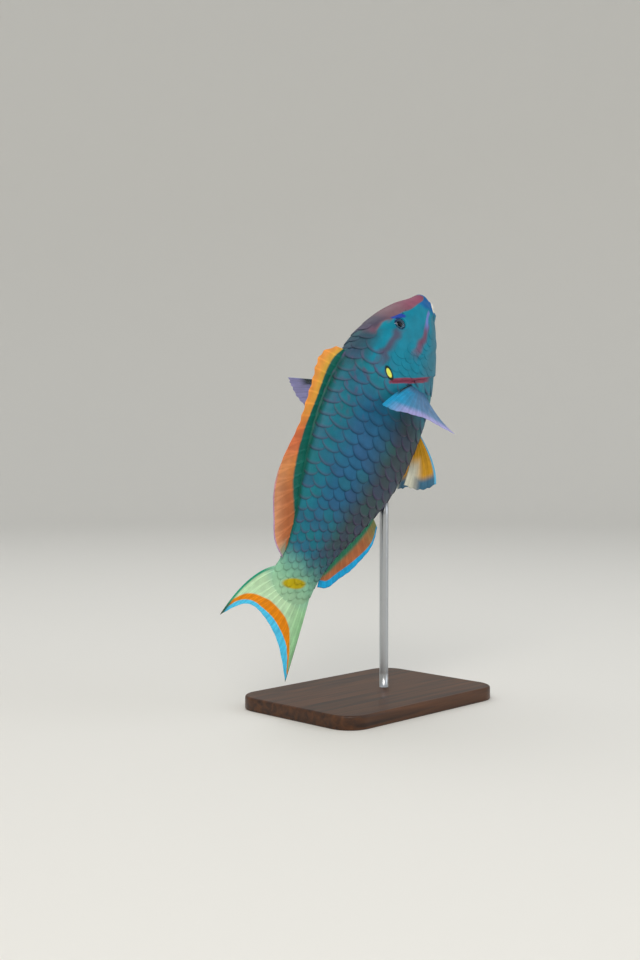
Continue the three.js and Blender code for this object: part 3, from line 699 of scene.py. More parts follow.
def scale_template():
    """One thin scale with a round rear edge, closed, with how far back each point lies on it."""
    along, across = 11, 13
    u = np.linspace(0, 1, along)[:, None]
    t = np.linspace(-1, 1, across)[None] * math.pi / 2
    narrow = 0.72 + 0.28 * smooth(0, 0.55, u)
    end = SCALE["long"] - SCALE["arc"] * (1 - np.cos(t))
    x = u * end
    y = SCALE["half"] * np.sin(t) * narrow
    rise = SCALE["root"] + (SCALE["tip"] - SCALE["root"]) * x / SCALE["long"]
    top = rise - SCALE["crown"] * np.sin(t) ** 2
    edge = np.maximum(smooth(0.9, 1, u + 0 * t), smooth(0.8, 1, np.abs(np.sin(t)) + 0 * u))
    top = np.stack(np.broadcast_arrays(x, y, top - 0.1 * edge), -1)
    rim = rim_faces(along, across, 0)
    ring = {face[0] for face in rim}
    # Under the scale only every third column is kept, and it is sunk into the skin below.
    kept = range(0, across, 3)
    order = sorted(ring | {i * across + j for i in range(1, along - 1) for j in kept})
    sunk = np.array([point not in ring for point in order], float)
    low = (top - [0, 0, SCALE["thick"]] + edge[..., None] * [0, 0, 0.14]).reshape(-1, 3)[order]
    low[:, 2] -= 0.8 * sunk
    below = {point: along * across + i for i, point in enumerate(order)}
    faces = grid_faces(along, across)
    faces += [(b, a, below[a], below[b]) for b, a, *_ in rim]
    for i in range(along - 1):
        for j in kept[:-1]:
            near = range(j, j + 4) if i == 0 else (j, j + 3)
            far = range(j, j + 4) if i == along - 2 else (j, j + 3)
            face = [i * across + k for k in near] + [(i + 1) * across + k for k in reversed(far)]
            faces.append(tuple(below[k] for k in face))
    points = np.concatenate([top.reshape(-1, 3), low])
    mesh = make_mesh("scale", points, faces)
    share = np.maximum(x / end, 0).ravel()
    write(mesh, {
        "growth": np.concatenate([share, share[order]]),
        "aside": points[:, 1] / SCALE["half"],
        "under": np.concatenate([np.zeros(len(share)), sunk]),
    })
    return bpy.data.objects.new("scale", mesh)


def scale_tree():
    """Sets one scale on each root, in its size and turned a little at random."""
    tree, given = tree_of("scale_rows", [("Scale", "Object"), ("Turn", "Float"), ("Seed", "Int")])
    one = add(tree, "GeometryNodeObjectInfo", {"Object": given["Scale"]}).node.outputs["Geometry"]
    size = add(tree, "GeometryNodeInputNamedAttribute", {"Name": "size"}, data_type="FLOAT_VECTOR")
    least = add(tree, "ShaderNodeMath", {0: given["Turn"], 1: -1.0}, operation="MULTIPLY")
    turn = add(
        tree,
        "FunctionNodeRandomValue",
        {2: least, 3: given["Turn"], "Seed": given["Seed"]},
        data_type="FLOAT",
    )
    turn = add(tree, "ShaderNodeCombineXYZ", {"Z": turn})
    made = add(
        tree,
        "GeometryNodeInstanceOnPoints",
        {"Points": given["Mesh"], "Instance": one, "Rotation": turn, "Scale": size},
    )
    end_tree(tree, given, made)
    return tree


def spacing_at(s):
    """How far apart the scales of a row stand, in millimetres: closer towards the tail."""
    return table(s, [(0.3, SPACING["front"]), (0.95, SPACING["tail"])])


def body_scales():
    """Roots of the scales in staggered rows: s at the root, share round, and size."""
    roots = []
    at = 0.17
    steps = []
    while at < 1.06:
        steps.append(at)
        at += spacing_at(at) / LENGTH / 2
    for row in range(2 * ROWS):
        share = (row + 0.5) / ROWS
        for tip in steps[row % 2 :: 2]:
            spacing = spacing_at(tip)
            size = spacing / SPACING["front"]
            angle = around(np.array(tip), np.array(share))
            elev = elevation(angle)
            if tip - spacing / LENGTH * 0.75 < scales_from(elev) or tip > tail_end(angle) - 0.004:
                continue
            roots.append((tip - SCALE["long"] * size / LENGTH, share, size, 1, 0))
    return roots


def head_scales():
    """Roots of the flatter scales on the gill covers and the cheeks, and down the nape."""
    roots = []
    size, apart = 0.62, 7.6
    for side in (0, 1):
        for k, share in enumerate(np.arange(0.16, 0.66, 0.083)):
            w = share if side == 0 else 2 - share
            angle = around(np.array(0.28), np.array(w))
            edge = gill_seam(elevation(angle)) + MARGIN_BEHIND
            for n in range(4):
                # Every second row starts half a scale further ahead of the gill cover's edge.
                tip = edge - (2.0 + apart * (n + 0.5 * (k % 2))) / LENGTH
                if tip >= 0.185 + 0.05 * abs(share - 0.45):
                    roots.append((tip - SCALE["long"] * size / LENGTH, w, size, 0.72, 1))
        for tip, share in [(0.118, 0.40), (0.143, 0.42), (0.168, 0.452), (0.193, 0.50), (0.213, 0.555)]:
            w = share if side == 0 else 2 - share
            roots.append((tip - SCALE["long"] * 0.6 / LENGTH, w, 0.6, 0.78, 1))
    for n in range(4):
        tip = 0.235 + 0.027 * n
        roots.append((tip - SCALE["long"] * 0.7 / LENGTH, 1, 0.7, 0.7, 0))
    return roots


def scale_piece(name, roots, tree, template, material):
    """Scales laid out flat on their roots, rolled round the body and painted with its markings."""
    roots = np.array(roots)
    flat = np.stack([roots[:, 0] * LENGTH, roots[:, 1] * ROWS * ROW, np.zeros(len(roots))], -1)
    mesh = bpy.data.meshes.new("roots")
    mesh.from_pydata(flat.tolist(), [], [])
    jitter = 1 + 0.05 * RNG.standard_normal((len(roots), 2)).clip(-1.5, 1.5)
    deep = np.clip(roots[:, 2] * 1.1, 0, 1)
    size = np.stack([roots[:, 2] * jitter[:, 0], roots[:, 3] * jitter[:, 1], deep], -1)
    mesh.attributes.new("size", "FLOAT_VECTOR", "POINT").data.foreach_set("vector", size.ravel())
    write(mesh, {
        "root_s": roots[:, 0],
        "root_share": roots[:, 1],
        "kind": roots[:, 4],
        "tone": RNG.uniform(0, 1, len(roots)),
    })
    made = run_tree(tree, mesh, {"Scale": template, "Turn": rad(1.6), "Seed": 3, "Finish": material})
    points = np.zeros(len(made.vertices) * 3, np.float32)
    made.vertices.foreach_get("co", points)
    x, y, lift = points.reshape(-1, 3).astype(float).T
    root_s, root_share, kind = read(made, "root_s"), read(made, "root_share"), read(made, "kind")
    s, share = x / LENGTH, y / (ROWS * ROW)
    # Rows beside the fins' roots end at the midline.
    off = share - root_share
    row = np.mod(root_share * ROWS, 2 * ROWS)
    upper_left, upper_right = np.abs(row - ROWS + 0.5) < 0.1, np.abs(row - ROWS - 0.5) < 0.1
    lower_left, lower_right = np.abs(row - 0.5) < 0.1, np.abs(row - 2 * ROWS + 0.5) < 0.1
    inner = (upper_left | lower_right) & (off > 0) | (upper_right | lower_left) & (off < 0)
    share = root_share + off * np.where(inner & (kind == 0), 0.74, 1)
    angle = around(s, share)
    if kind.any():
        # Head scales are lower, and lie on the skin with all its relief.
        grown = read(made, "growth")
        low = relief(s, angle) + 0.16 * (lift - SCALE["tip"])
        low += table(grown, [(0, -0.3), (0.25, 0.15), (1, 0.25)])
        lift = np.where(kind > 0, low - 0.6 * read(made, "under"), lift)
    rolled = to_row(lifted(s, angle, lift))
    made.vertices.foreach_set("co", rolled.astype(np.float32).ravel())
    made.update()
    write(made, markings(s, angle))
    corners = np.zeros(len(made.loops), np.int32)
    made.loops.foreach_get("vertex_index", corners)
    growth, aside = read(made, "growth"), read(made, "aside")
    patch = np.stack([0.06 + 0.85 * root_s, 0.02 + 0.96 * np.mod(root_share, 2) / 2], -1)
    patch += 0.003 * np.stack([growth - 0.5, aside * 0.5], -1)
    layer = made.uv_layers.new(name="OFBake")
    layer.uv.foreach_set("vector", patch[corners].astype(np.float32).ravel())
    return show(name, made, material)


# Fins.


def fin_tree():
    """Thickens a fin on both faces of its middle surface and raises its forking rays."""
    sizes = ["Rays", "Membrane Root", "Membrane Edge", "Ridge Root", "Ridge Edge", "Ridge Width", "Fork"]
    tree, given = tree_of("fin_rays", [(name, "Float") for name in sizes])
    named = "GeometryNodeInputNamedAttribute"
    math_ = "ShaderNodeMath"
    across = add(tree, named, {"Name": "across"}, data_type="FLOAT")
    along = add(tree, named, {"Name": "along"}, data_type="FLOAT")
    soft = add(tree, named, {"Name": "soft"}, data_type="FLOAT")
    outward = add(tree, named, {"Name": "outward"}, data_type="FLOAT_VECTOR")
    spaces = add(tree, math_, {0: given["Rays"], 1: 1.0}, operation="SUBTRACT")
    run = add(tree, math_, {0: across, 1: spaces, 2: 0.5}, operation="MULTIPLY_ADD")
    run = add(tree, math_, {0: run}, operation="FRACT")
    off = add(tree, math_, {0: run, 1: 0.5}, operation="SUBTRACT")
    off = add(tree, math_, {0: off}, operation="ABSOLUTE")
    for start, most in ((0.28, 0.24), (0.62, 0.11)):
        fork = add(tree, "ShaderNodeMapRange", {0: along, 1: start, 2: 1.05, 3: 0.0, 4: most})
        fork = add(tree, math_, {0: fork, 1: soft}, operation="MULTIPLY")
        fork = add(tree, math_, {0: fork, 1: given["Fork"]}, operation="MULTIPLY")
        off = add(tree, math_, {0: off, 1: fork}, operation="SUBTRACT")
        off = add(tree, math_, {0: off}, operation="ABSOLUTE")
    ray = add(
        tree, "ShaderNodeMapRange", {0: off, 1: 0.0, 2: given["Ridge Width"], 3: 1.0, 4: 0.0},
        interpolation_type="SMOOTHSTEP",
    )
    membrane = add(
        tree, "ShaderNodeMapRange", {0: along, 3: given["Membrane Root"], 4: given["Membrane Edge"]}
    )
    ridge = add(tree, "ShaderNodeMapRange", {0: along, 3: given["Ridge Root"], 4: given["Ridge Edge"]})
    half = add(tree, math_, {0: membrane, 1: 0.5}, operation="MULTIPLY")
    half = add(tree, math_, {0: ray, 1: ridge, 2: half}, operation="MULTIPLY_ADD")
    offset = add(tree, "ShaderNodeVectorMath", {0: outward, "Scale": half}, operation="SCALE")
    made = add(tree, "GeometryNodeSetPosition", {"Geometry": given["Mesh"], "Offset": offset})
    made = add(
        tree, "GeometryNodeStoreNamedAttribute", {"Geometry": made, "Name": "ray", "Value": ray},
        data_type="FLOAT", domain="POINT",
    )
    end_tree(tree, given, made)
    return tree


FIN_SIZES = {
    "Membrane Root": 1.1 * MM,
    "Membrane Edge": 0.55 * MM,
    "Ridge Root": 0.42 * MM,
    "Ridge Edge": 0.16 * MM,
    "Ridge Width": 0.15,
    "Fork": 1.0,
}


def fin(name, node, surface, rays, fine, rows, tree, material, marks, soft=None, scallop=0.012):
    """A fin with raised rays. Its free edge draws in a little between them."""
    u = np.linspace(0, 1, (rays - 1) * fine + 1)
    v = np.concatenate([np.linspace(0, 0.9, rows - 8, endpoint=False), np.linspace(0.9, 1, 8)])
    u, v = np.meshgrid(u, v, indexing="ij")
    between = np.sin(math.pi * np.mod(u * (rays - 1), 1)) ** 2
    depth = scallop(u) if callable(scallop) else scallop
    reach = v * (1 - depth * between * smooth(0.75, 1, v))
    step = 0.004
    over = surface(np.minimum(1, u + step), reach) - surface(np.maximum(0, u - step), reach)
    out = np.cross(over, surface(u, reach + step) - surface(u, reach - step))
    out /= np.linalg.norm(out, axis=-1, keepdims=True)
    middle = surface(u, reach)
    rim = np.minimum(smooth(0, 0.03, u) * smooth(1, 0.97, u) + 0.45, 1) * (1 - 0.6 * smooth(0.985, 1, v))
    points, faces = slab(middle + out * 1e-3, middle - out * 1e-3)
    mesh = make_mesh(name, to_row(points), faces)
    both_faces = to_row(np.concatenate([middle.reshape(-1, 3)] * 2))
    mesh.vertices.foreach_set("co", both_faces.astype(np.float32).ravel())
    turned = to_row(out * rim[..., None]) / MM - np.array([0, 0, AXIS_UP])
    outward = np.concatenate([turned.reshape(-1, 3), -turned.reshape(-1, 3)])
    mesh.attributes.new("outward", "FLOAT_VECTOR", "POINT").data.foreach_set("vector", outward.ravel())
    tip = surface(np.linspace(0, 1, 160), np.ones(160))
    flat = middle.reshape(-1, 3)
    edge = np.concatenate([
        np.sqrt(((part[:, None] - tip[None]) ** 2).sum(-1)).min(1) for part in np.array_split(flat, 16)
    ]).reshape(u.shape)
    values = {"across": u, "along": v, "soft": soft(u) if soft else np.ones_like(u)}
    values.update(marks(u, v, edge))
    write(mesh, {key: np.tile(np.broadcast_to(value, u.shape).ravel(), 2) for key, value in values.items()})
    made = run_tree(tree, mesh, {**FIN_SIZES, "Rays": float(rays), "Finish": material})
    return show(name, made, material, [node])


def median_fin(start, end, edge, keel, bend, swing=0.0, lean=0.0, wave=0.0):
    """A middle surface from a root sunk in the back or belly out to the free edge."""
    edge = np.array(edge)

    def surface(u, v):
        root = start + (end - start) * u
        rooted = keel(root)
        free = cubic(edge[:, 0], edge[:, 1:], np.clip(u, 0, 1))
        rise = free[..., 1] * LENGTH - rooted
        sunk = np.sign(rise) * 3
        reach = -sunk + (rise + sunk) * v
        s = root + (free[..., 0] - root) * np.maximum(v, 0) ** (1 + (bend - 1) * u)
        tilt = lean * hill(u - 0.35, 0.2)
        swung = wave * np.sin(u * 21) - swing * smooth(0.85, 1, u)
        aside = -reach * np.sin(tilt) + swung * np.clip(v, 0, 1) ** 2
        return place(s, aside, rooted + reach * np.cos(tilt))

    return surface


def spline(points, t):
    """The solids' own spline through the tail fin's points."""
    points = np.array(points)
    last = len(points) - 1
    run = np.clip(t, 0, 1) * last
    i = np.minimum(run.astype(int), last - 1)
    w = (run - i)[..., None]
    p0, p1 = points[np.maximum(i - 1, 0)], points[i]
    p2, p3 = points[i + 1], points[np.minimum(i + 2, last)]
    v0, v1 = (p2 - p0) / 2, (p3 - p1) / 2
    return (2 * p1 - 2 * p2 + v0 + v1) * w**3 + (-3 * p1 + 3 * p2 - 2 * v0 - v1) * w**2 + v0 * w + p1


CAUDAL_ROOT = [(0.962, 0.074), (0.995, 0.040), (1.000, 0.000), (0.995, -0.040), (0.962, -0.076)]
CAUDAL_BOW = [(1.028, 0.165), (1.050, 0.075), (1.055, 0.010), (1.058, -0.060), (1.075, -0.115)]
CAUDAL_TIP = [(1.176, 0.166), (1.109, 0.110), (1.106, 0.035), (1.140, -0.060), (1.222, -0.165)]


def caudal_surface(u, v):
    """The tail fin's middle surface: each ray bows from the root out to the hollow edge."""
    v = np.clip(v, 0, 1.01)[..., None]
    root, bow, tip = (spline(points, u) for points in (CAUDAL_ROOT, CAUDAL_BOW, CAUDAL_TIP))
    at = (1 - v) ** 2 * root + 2 * v * (1 - v) * bow + v**2 * tip
    aside = 0.8 * np.sin(u * 11 + 0.6) * v[..., 0] ** 2
    return place(at[..., 0], aside, at[..., 1] * LENGTH)


def paired_surface(side, shape, cup):
    """A fan of rays from a root line on the flank, by where its first and last rays lie."""
    first, last, bend = shape["first"], shape["last"], shape["bend"]

    def surface(u, v):
        share = np.clip(u, 0, 1)

        def mix(name, power=1.0):
            return first[name] + (last[name] - first[name]) * share**power

        at, angle = mix("at"), np.radians(mix("angle"))
        angle = angle if side > 0 else math.pi - angle
        sweep, raised = np.radians(mix("sweep", bend[0])), np.radians(mix("raise", bend[1]))
        way = np.stack([
            -np.sin(sweep) * np.cos(raised),
            side * np.cos(sweep) * np.cos(raised),
            np.sin(raised),
        ], -1)
        v = v[..., None]
        sunk = outwards(at, angle) * -3 * (1 - v)
        turned = np.stack([-np.cos(sweep), -side * np.sin(sweep), 0 * sweep], -1)
        bow = np.stack([mix("ahead"), side * mix("out"), mix("up")], -1)
        ripple = np.cross(way, turned) * 0.5 * np.sin(share * 24)[..., None] * v**2
        fuller = 1 + shape["belly"] * np.sin(math.pi * share) + shape["lobe"] * np.sin(2 * math.pi * share)
        length = (mix("length") * fuller * LENGTH)[..., None]
        rays = skin(at, angle) + sunk + way * length * v
        return rays + bow * 4 * v * (1 - v) + turned * cup * v**2 + ripple

    return surface


DORSAL_EDGE = [
    (0, 0.332, 0.247), (0.07, 0.378, 0.284), (0.25, 0.490, 0.280), (0.43, 0.610, 0.256),
    (0.56, 0.712, 0.250), (0.685, 0.800, 0.224), (0.82, 0.880, 0.169), (0.92, 0.926, 0.128),
    (1, 0.946, 0.092),
]
ANAL_EDGE = [
    (0, 0.680, -0.199), (0.12, 0.714, -0.210), (0.3, 0.770, -0.205), (0.5, 0.835, -0.180),
    (0.7, 0.888, -0.150), (0.87, 0.930, -0.123), (1, 0.945, -0.092),
]


def ray(at, angle, sweep, raised, length, ahead=0, out=0, up=0):
    """A paired fin's first or last ray: where it is rooted, how far in degrees it is swept back
    and raised, its length, and how it bows half way along in millimetres ahead, out and up."""
    return {
        "at": at, "angle": angle, "sweep": sweep, "raise": raised, "length": length,
        "ahead": ahead, "out": out, "up": up,
    }


# The rays between are longer by a belly, and the front ones by a lobe that the rear ones lack.
PECTORAL = {
    "left": {
        "first": ray(0.285, -10, 31, 47, 0.265),
        "last": ray(0.268, -27, 42, 0, 0.195),
        "bend": (1.5, 1.8), "belly": 0.10, "lobe": 0.0,
    },
    "right": {
        "first": ray(0.284, -8, 67, 39, 0.24, ahead=3.5),
        "last": ray(0.268, -27, 40, -12, 0.196, ahead=-4),
        "bend": (1.5, 2.2), "belly": -0.05, "lobe": 0.12,
    },
}
PELVIC = {
    "first": ray(0.350, -75, 77, -50, 0.166, out=3, up=-4),
    "last": ray(0.383, -81, 85, -6, 0.142, up=-1),
    "bend": (1.0, 1.0), "belly": 0.04, "lobe": 0.0,
}


def dorsal_marks(u, v, edge):
    """Green at the root, yellow in front, a browner orange further back and a violet rear margin."""
    foot = table(u, [
        (0, 0.43), (0.3, 0.42), (0.44, 0.56), (0.58, 0.42), (0.68, 0.36), (0.77, 0.23), (0.86, 0.1),
    ])
    return {
        "rear": ramp(0.45, 0.76, u),
        "glow": both(ramp(0.45, 0.1, u), ramp(0.9, 0.45, v)),
        "narrow": both(ramp(0.36, 0.48, u), ramp(0.62, 0.52, u)),
        "streak": both(ramp(0.35, 0.9, u), ramp(0.35, 1.1, v)),
        "root": ramp(foot + 0.05, foot - 0.04, v),
        "margin": both(ramp(1.6, 0.4, edge), ramp(0.55, 0.8, u)),
        "tip": both(ramp(0.91, 1.01, u), ramp(0.3, 0.6, v)),
    }


def anal_marks(u, v, edge):
    """Green at the root, orange outside it and a blue band along the edge."""
    band = 1.8 + 4.8 * smooth(0, 0.6, u)
    return {
        "front": 0.75 * ramp(0.34, 0.06, u),
        "root": both(ramp(0.46, 0.26, v), ramp(1, 0.9, u)),
        "band": ramp(band + 0.6, band - 0.6, edge),
        "margin": ramp(1.0, 0.4, edge),
    }


def caudal_marks(u, v, edge):
    """Pale green, with a blue band along the edge, an orange crescent inside it and dark tips."""
    near = table(u, [
        (0, 3), (0.1, 4.4), (0.2, 3.6), (0.4, 3.5), (0.6, 6), (0.85, 7.2), (0.9, 5.6), (0.95, 3), (1, 2),
    ])
    far = table(u, [
        (0, 6.5), (0.1, 8.4), (0.3, 10.6), (0.4, 13), (0.7, 15.8), (0.8, 14.8), (0.9, 9), (0.95, 5), (1, 3),
    ])
    return {
        "lower": ramp(0.55, 1.0, u),
        "base": ramp(0.36, 0.1, v),
        "band": ramp(near + 0.4, near - 0.4, edge),
        "crescent": both(
            ramp(near - 0.4, near + 0.4, edge), ramp(far + 0.8, far - 0.8, edge), ramp(1, 0.97, u)
        ),
        "upper_edge": both(ramp(0.055, 0.02, u), ramp(0.05, 0.3, v)),
        "dark": np.maximum(
            both(ramp(0.1, 0.0, u), ramp(0.8, 0.97, v)), both(ramp(0.97, 0.995, u), ramp(0.4, 0.8, v))
        ),
    }


def pectoral_marks(u, v, edge):
    """Blue, with painted light that makes its front a brighter blue, a lilac edge and a dusky start of the
    front ray.
    """
    return {
        # Painted light: the front of the fin is painted a brighter blue, as if light from above came through
        # it.
        "lead_and_painted_light": both(ramp(0.75, 0.2, u), ramp(0.1, 0.4, v)),
        "root": ramp(0.32, 0.06, v),
        "margin": both(ramp(14, 2.5, edge), ramp(0.1, 0.6, u)),
        "dusk": both(ramp(0.16, 0.04, u), ramp(0.72, 0.45, v)),
    }


def backlit_marks(u, v, edge):
    """The left pectoral fin is painted paler, painted light that stands in for light through it from behind,
    but dusky along its front ray.
    """
    return {
        "root": ramp(0.32, 0.06, v),
        # Painted light: the pale lilac of the margin reaches over most of this fin.
        "margin": both(ramp(44, 16, edge), ramp(-0.1, 0.05, u)),
        "dusk": 0.85 * both(ramp(0.3, 0.18, u), ramp(0.9, 0.8, v), ramp(0.4, 0.6, v)),
    }


def pelvic_marks(u, v, edge):
    """Gold, with a blue front ray and tip and whitish rear rays."""
    return {
        "lead_and_painted_light": ramp(0.11, 0.05, u),
        "inner": both(ramp(0.4, 0.8, u), ramp(0.3, 0.62, v)),
        "tip": both(ramp(14, 6, edge), ramp(0.85, 0.5, u)),
    }


# Eyes: a globe with a dished iris and a round pupil, under a clear cornea.


def lathe(profile, count, axis_point, axis, sideways):
    """A closed body turned round an axis from a profile of radius and height."""
    radius, height = np.array(profile).T
    turn = np.arange(count) / count * 2 * math.pi
    third = np.cross(axis, sideways)
    ring = sideways * np.cos(turn)[:, None] + third * np.sin(turn)[:, None]
    inner = slice(1, -1)
    points = axis_point + radius[inner, None, None] * ring + height[inner, None, None] * axis
    rows = len(profile) - 2
    ends = axis_point + np.outer(height[[0, -1]], axis)
    every = np.concatenate([points.reshape(-1, 3), ends])
    faces = grid_faces(rows, count, wrap=True)
    first, last = rows * count, rows * count + 1
    faces += [(first, (j + 1) % count, j) for j in range(count)]
    faces += [(last, (rows - 1) * count + j, (rows - 1) * count + (j + 1) % count) for j in range(count)]
    across = np.concatenate([np.repeat(radius[inner], count), [0, 0]])
    front = np.concatenate([np.repeat(height[inner], count), height[[0, -1]]])
    bearing = np.concatenate([np.tile(turn, rows), [0, 0]])
    return every, faces, across, front, bearing


def make_eye(word, side, iris, cornea):
    """A globe with a dished iris, a domed pupil and a clear cornea over both."""
    angle = sided(EYE["angle"], side)
    axis = outwards(np.array(EYE["at"]), np.array(angle))
    centre = skin(np.array(EYE["at"]), np.array(angle)) + axis * (EYE["proud"] - EYE["depth"])
    up = np.array([0.0, 0.0, 1.0])
    sideways = up - axis * axis.dot(up)
    sideways /= np.linalg.norm(sideways)
    wide, deep = EYE["radius"], EYE["depth"]
    back = [(wide * 0.93 * math.sin(t), -deep * 0.8 * math.cos(t)) for t in np.linspace(0, math.pi / 2, 12)]
    dome = [(wide * 0.93 * math.cos(t), deep * 0.9 * math.sin(t)) for t in np.linspace(0.08, 0.72, 9)]
    bowl = [(r, 2.55 - 0.10 * (5.1 - r)) for r in np.linspace(4.7, PUPIL + 0.1, 14)]
    lens = [(PUPIL * math.cos(t), 2.1 + 1.25 * math.sin(t)) for t in np.linspace(0, math.pi / 2, 10)]
    points, faces, across, front, bearing = lathe(back + dome + bowl + lens, 72, centre, axis, sideways)
    name = f"eye_{word}_painted"
    mesh = make_mesh(name, to_row(points), faces)
    write(mesh, {
        "pupil": smooth(PUPIL + 0.12, PUPIL - 0.02, across) * (front > 0),
        "ring": hill(across - PUPIL - 0.45, 0.3) * (front > 0),
        "limb": smooth(4.5, 5.2, across),
        "arc": smooth(0.1, 0.7, np.cos(bearing)) * smooth(2.9, 4.0, across),
    })
    show(name, mesh, iris, [f"eye_{word}"])
    outer = [(wide * math.cos(t), deep * math.sin(t)) for t in np.linspace(0.5, math.pi / 2, 22)]
    inner = [(r * 0.965, h - 0.22) for r, h in outer[::-1]]
    points, faces, *_ = lathe(inner + outer, 72, centre, axis, sideways)
    show(f"cornea_{word}", make_mesh(f"cornea_{word}", to_row(points), faces), cornea)


# Beak: two plates of fused teeth, with a row of low knobs along each cutting edge.


def make_beak(word, up, material):
    """One plate of the beak, with a cleft down its middle."""
    across, tall = 97, 26
    turn = np.linspace(-rad(104), rad(104), across)[None]
    knobs = np.abs(np.cos(turn * 13))
    level = np.linspace(0, 1, tall)[:, None]
    low = rad(2.6) + rad(1.6) * (1 - knobs) + rad(3.5) * hill(turn, 0.05)
    lat = low + (rad(82) - low) * level
    bump = 0.22 * knobs * smooth(0.34, 0.04, level) + 0.06 * np.cos(turn * 26) * smooth(0.8, 0.3, level)
    bump = bump - 0.25 * hill(turn, 0.035)
    middle = place(BEAK["at"], 0, BEAK["drop"]) - np.array([0 if up > 0 else BEAK["overbite"], 0, 0])

    def face(grow):
        way = np.stack(np.broadcast_arrays(
            np.cos(turn) * np.cos(lat), np.sin(turn) * np.cos(lat), up * np.sin(lat)
        ), -1)
        return middle + way * (BEAK["radii"] + np.asarray(grow)[..., None])

    points, faces = slab(face(bump), face(-BEAK["wall"] + 0 * bump))
    tilt = -MOUTH["fall"] / LENGTH
    points[:, 2] -= (points[:, 0] - middle[0]) * tilt * 0.9
    name = f"beak_{word}_glazed"
    mesh = make_mesh(name, to_row(points), faces)
    stain = np.broadcast_to(smooth(0.25, 0.75, level), (tall, across))
    write(mesh, {"stain": np.tile(stain.ravel(), 2)})
    show(name, mesh, material, [f"beak_{word}"])


# Stand.


def make_base(material):
    """A flat board with round corners and a rounded top edge."""
    low, high = (np.array(corner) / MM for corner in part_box("stand_base"))
    centre, half = (low + high) / 2, (high - low) / 2
    corner, bevel, per = 22.0, 2.0, 16
    quarter = np.linspace(0, math.pi / 2, per)
    outline = []
    for k, (sx, sy) in enumerate([(1, 1), (-1, 1), (-1, -1), (1, -1)]):
        t = quarter + k * math.pi / 2
        outline.append(np.stack([
            sx * (half[0] - corner) + corner * np.cos(t), sy * (half[1] - corner) + corner * np.sin(t)
        ], -1))
    outline = np.concatenate(outline)
    normals = np.concatenate([
        np.stack([np.cos(quarter + k * math.pi / 2), np.sin(quarter + k * math.pi / 2)], -1) for k in range(4)
    ])
    turns = np.linspace(0, math.pi / 2, 6)
    rings = [(-bevel * 0.5, 0.0), (0.0, bevel * 0.5)]
    rings += [(-bevel * (1 - math.cos(t)), high[2] - bevel + bevel * math.sin(t)) for t in turns]
    points = [
        np.concatenate([outline + normals * inset, np.full((len(outline), 1), z)], 1) for inset, z in rings
    ]
    points = np.array(points) + [centre[0], centre[1], 0]
    count = len(outline)
    faces = grid_faces(len(rings), count, wrap=True)
    faces += [tuple(range(count))[::-1], tuple((len(rings) - 1) * count + j for j in range(count))]
    mesh = make_mesh("stand_base_finished", points.reshape(-1, 3) * MM, faces)
    piece = show("stand_base_finished", mesh, material, ["stand_base"])
    flat = [abs(face.normal.z) > 0.99 and len(face.vertices) > 4 for face in mesh.polygons]
    mesh.polygons.foreach_set("use_smooth", [not f for f in flat])
    return piece


def make_rod(material):
    """A plain round rod from the base up into the belly."""
    low, high = (np.array(corner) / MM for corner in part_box("stand_rod"))
    centre, radius = (low + high) / 2, (high - low)[0] / 2
    foot = low[2] - 0.3
    profile = [(0, foot), (radius, foot)]
    profile += [(radius, z) for z in np.linspace(foot, high[2] - 2, 14)] + [(0, high[2] - 2)]
    axis_point = np.array([centre[0], centre[1], 0.0])
    points, faces, *_ = lathe(profile, 64, axis_point, np.array([0, 0, 1.0]), np.array([1.0, 0, 0]))
    mesh = make_mesh("stand_rod_finished", points * MM, faces)
    return show("stand_rod_finished", mesh, material, ["stand_rod"])


# Finishes.


def airbrushed(name, base, layers, ray=0.0, rough=0.45, coat=0.1, alpha=1.0, bump=(1.2, 0.12)):
    """Varnished resin whose rays, on a fin, were wiped to a lighter tone of their own colour."""
    material = layered(name, base, layers, rough, coat, bump)
    tree = material.node_tree
    shader = shader_of(material)
    colour = shader.inputs["Base Color"].links[0].from_socket
    if ray:
        share = add(tree, "ShaderNodeAttribute", attribute_name="ray").node.outputs["Fac"]
        share = add(tree, "ShaderNodeMath", {0: share, 1: ray, 2: 1 - ray / 3}, operation="MULTIPLY_ADD")
        toned = add(tree, "ShaderNodeVectorMath", {0: colour, 1: share}, operation="MULTIPLY")
        tree.links.new(toned, shader.inputs["Base Color"])
    shader.inputs["Alpha"].default_value = alpha
    return material


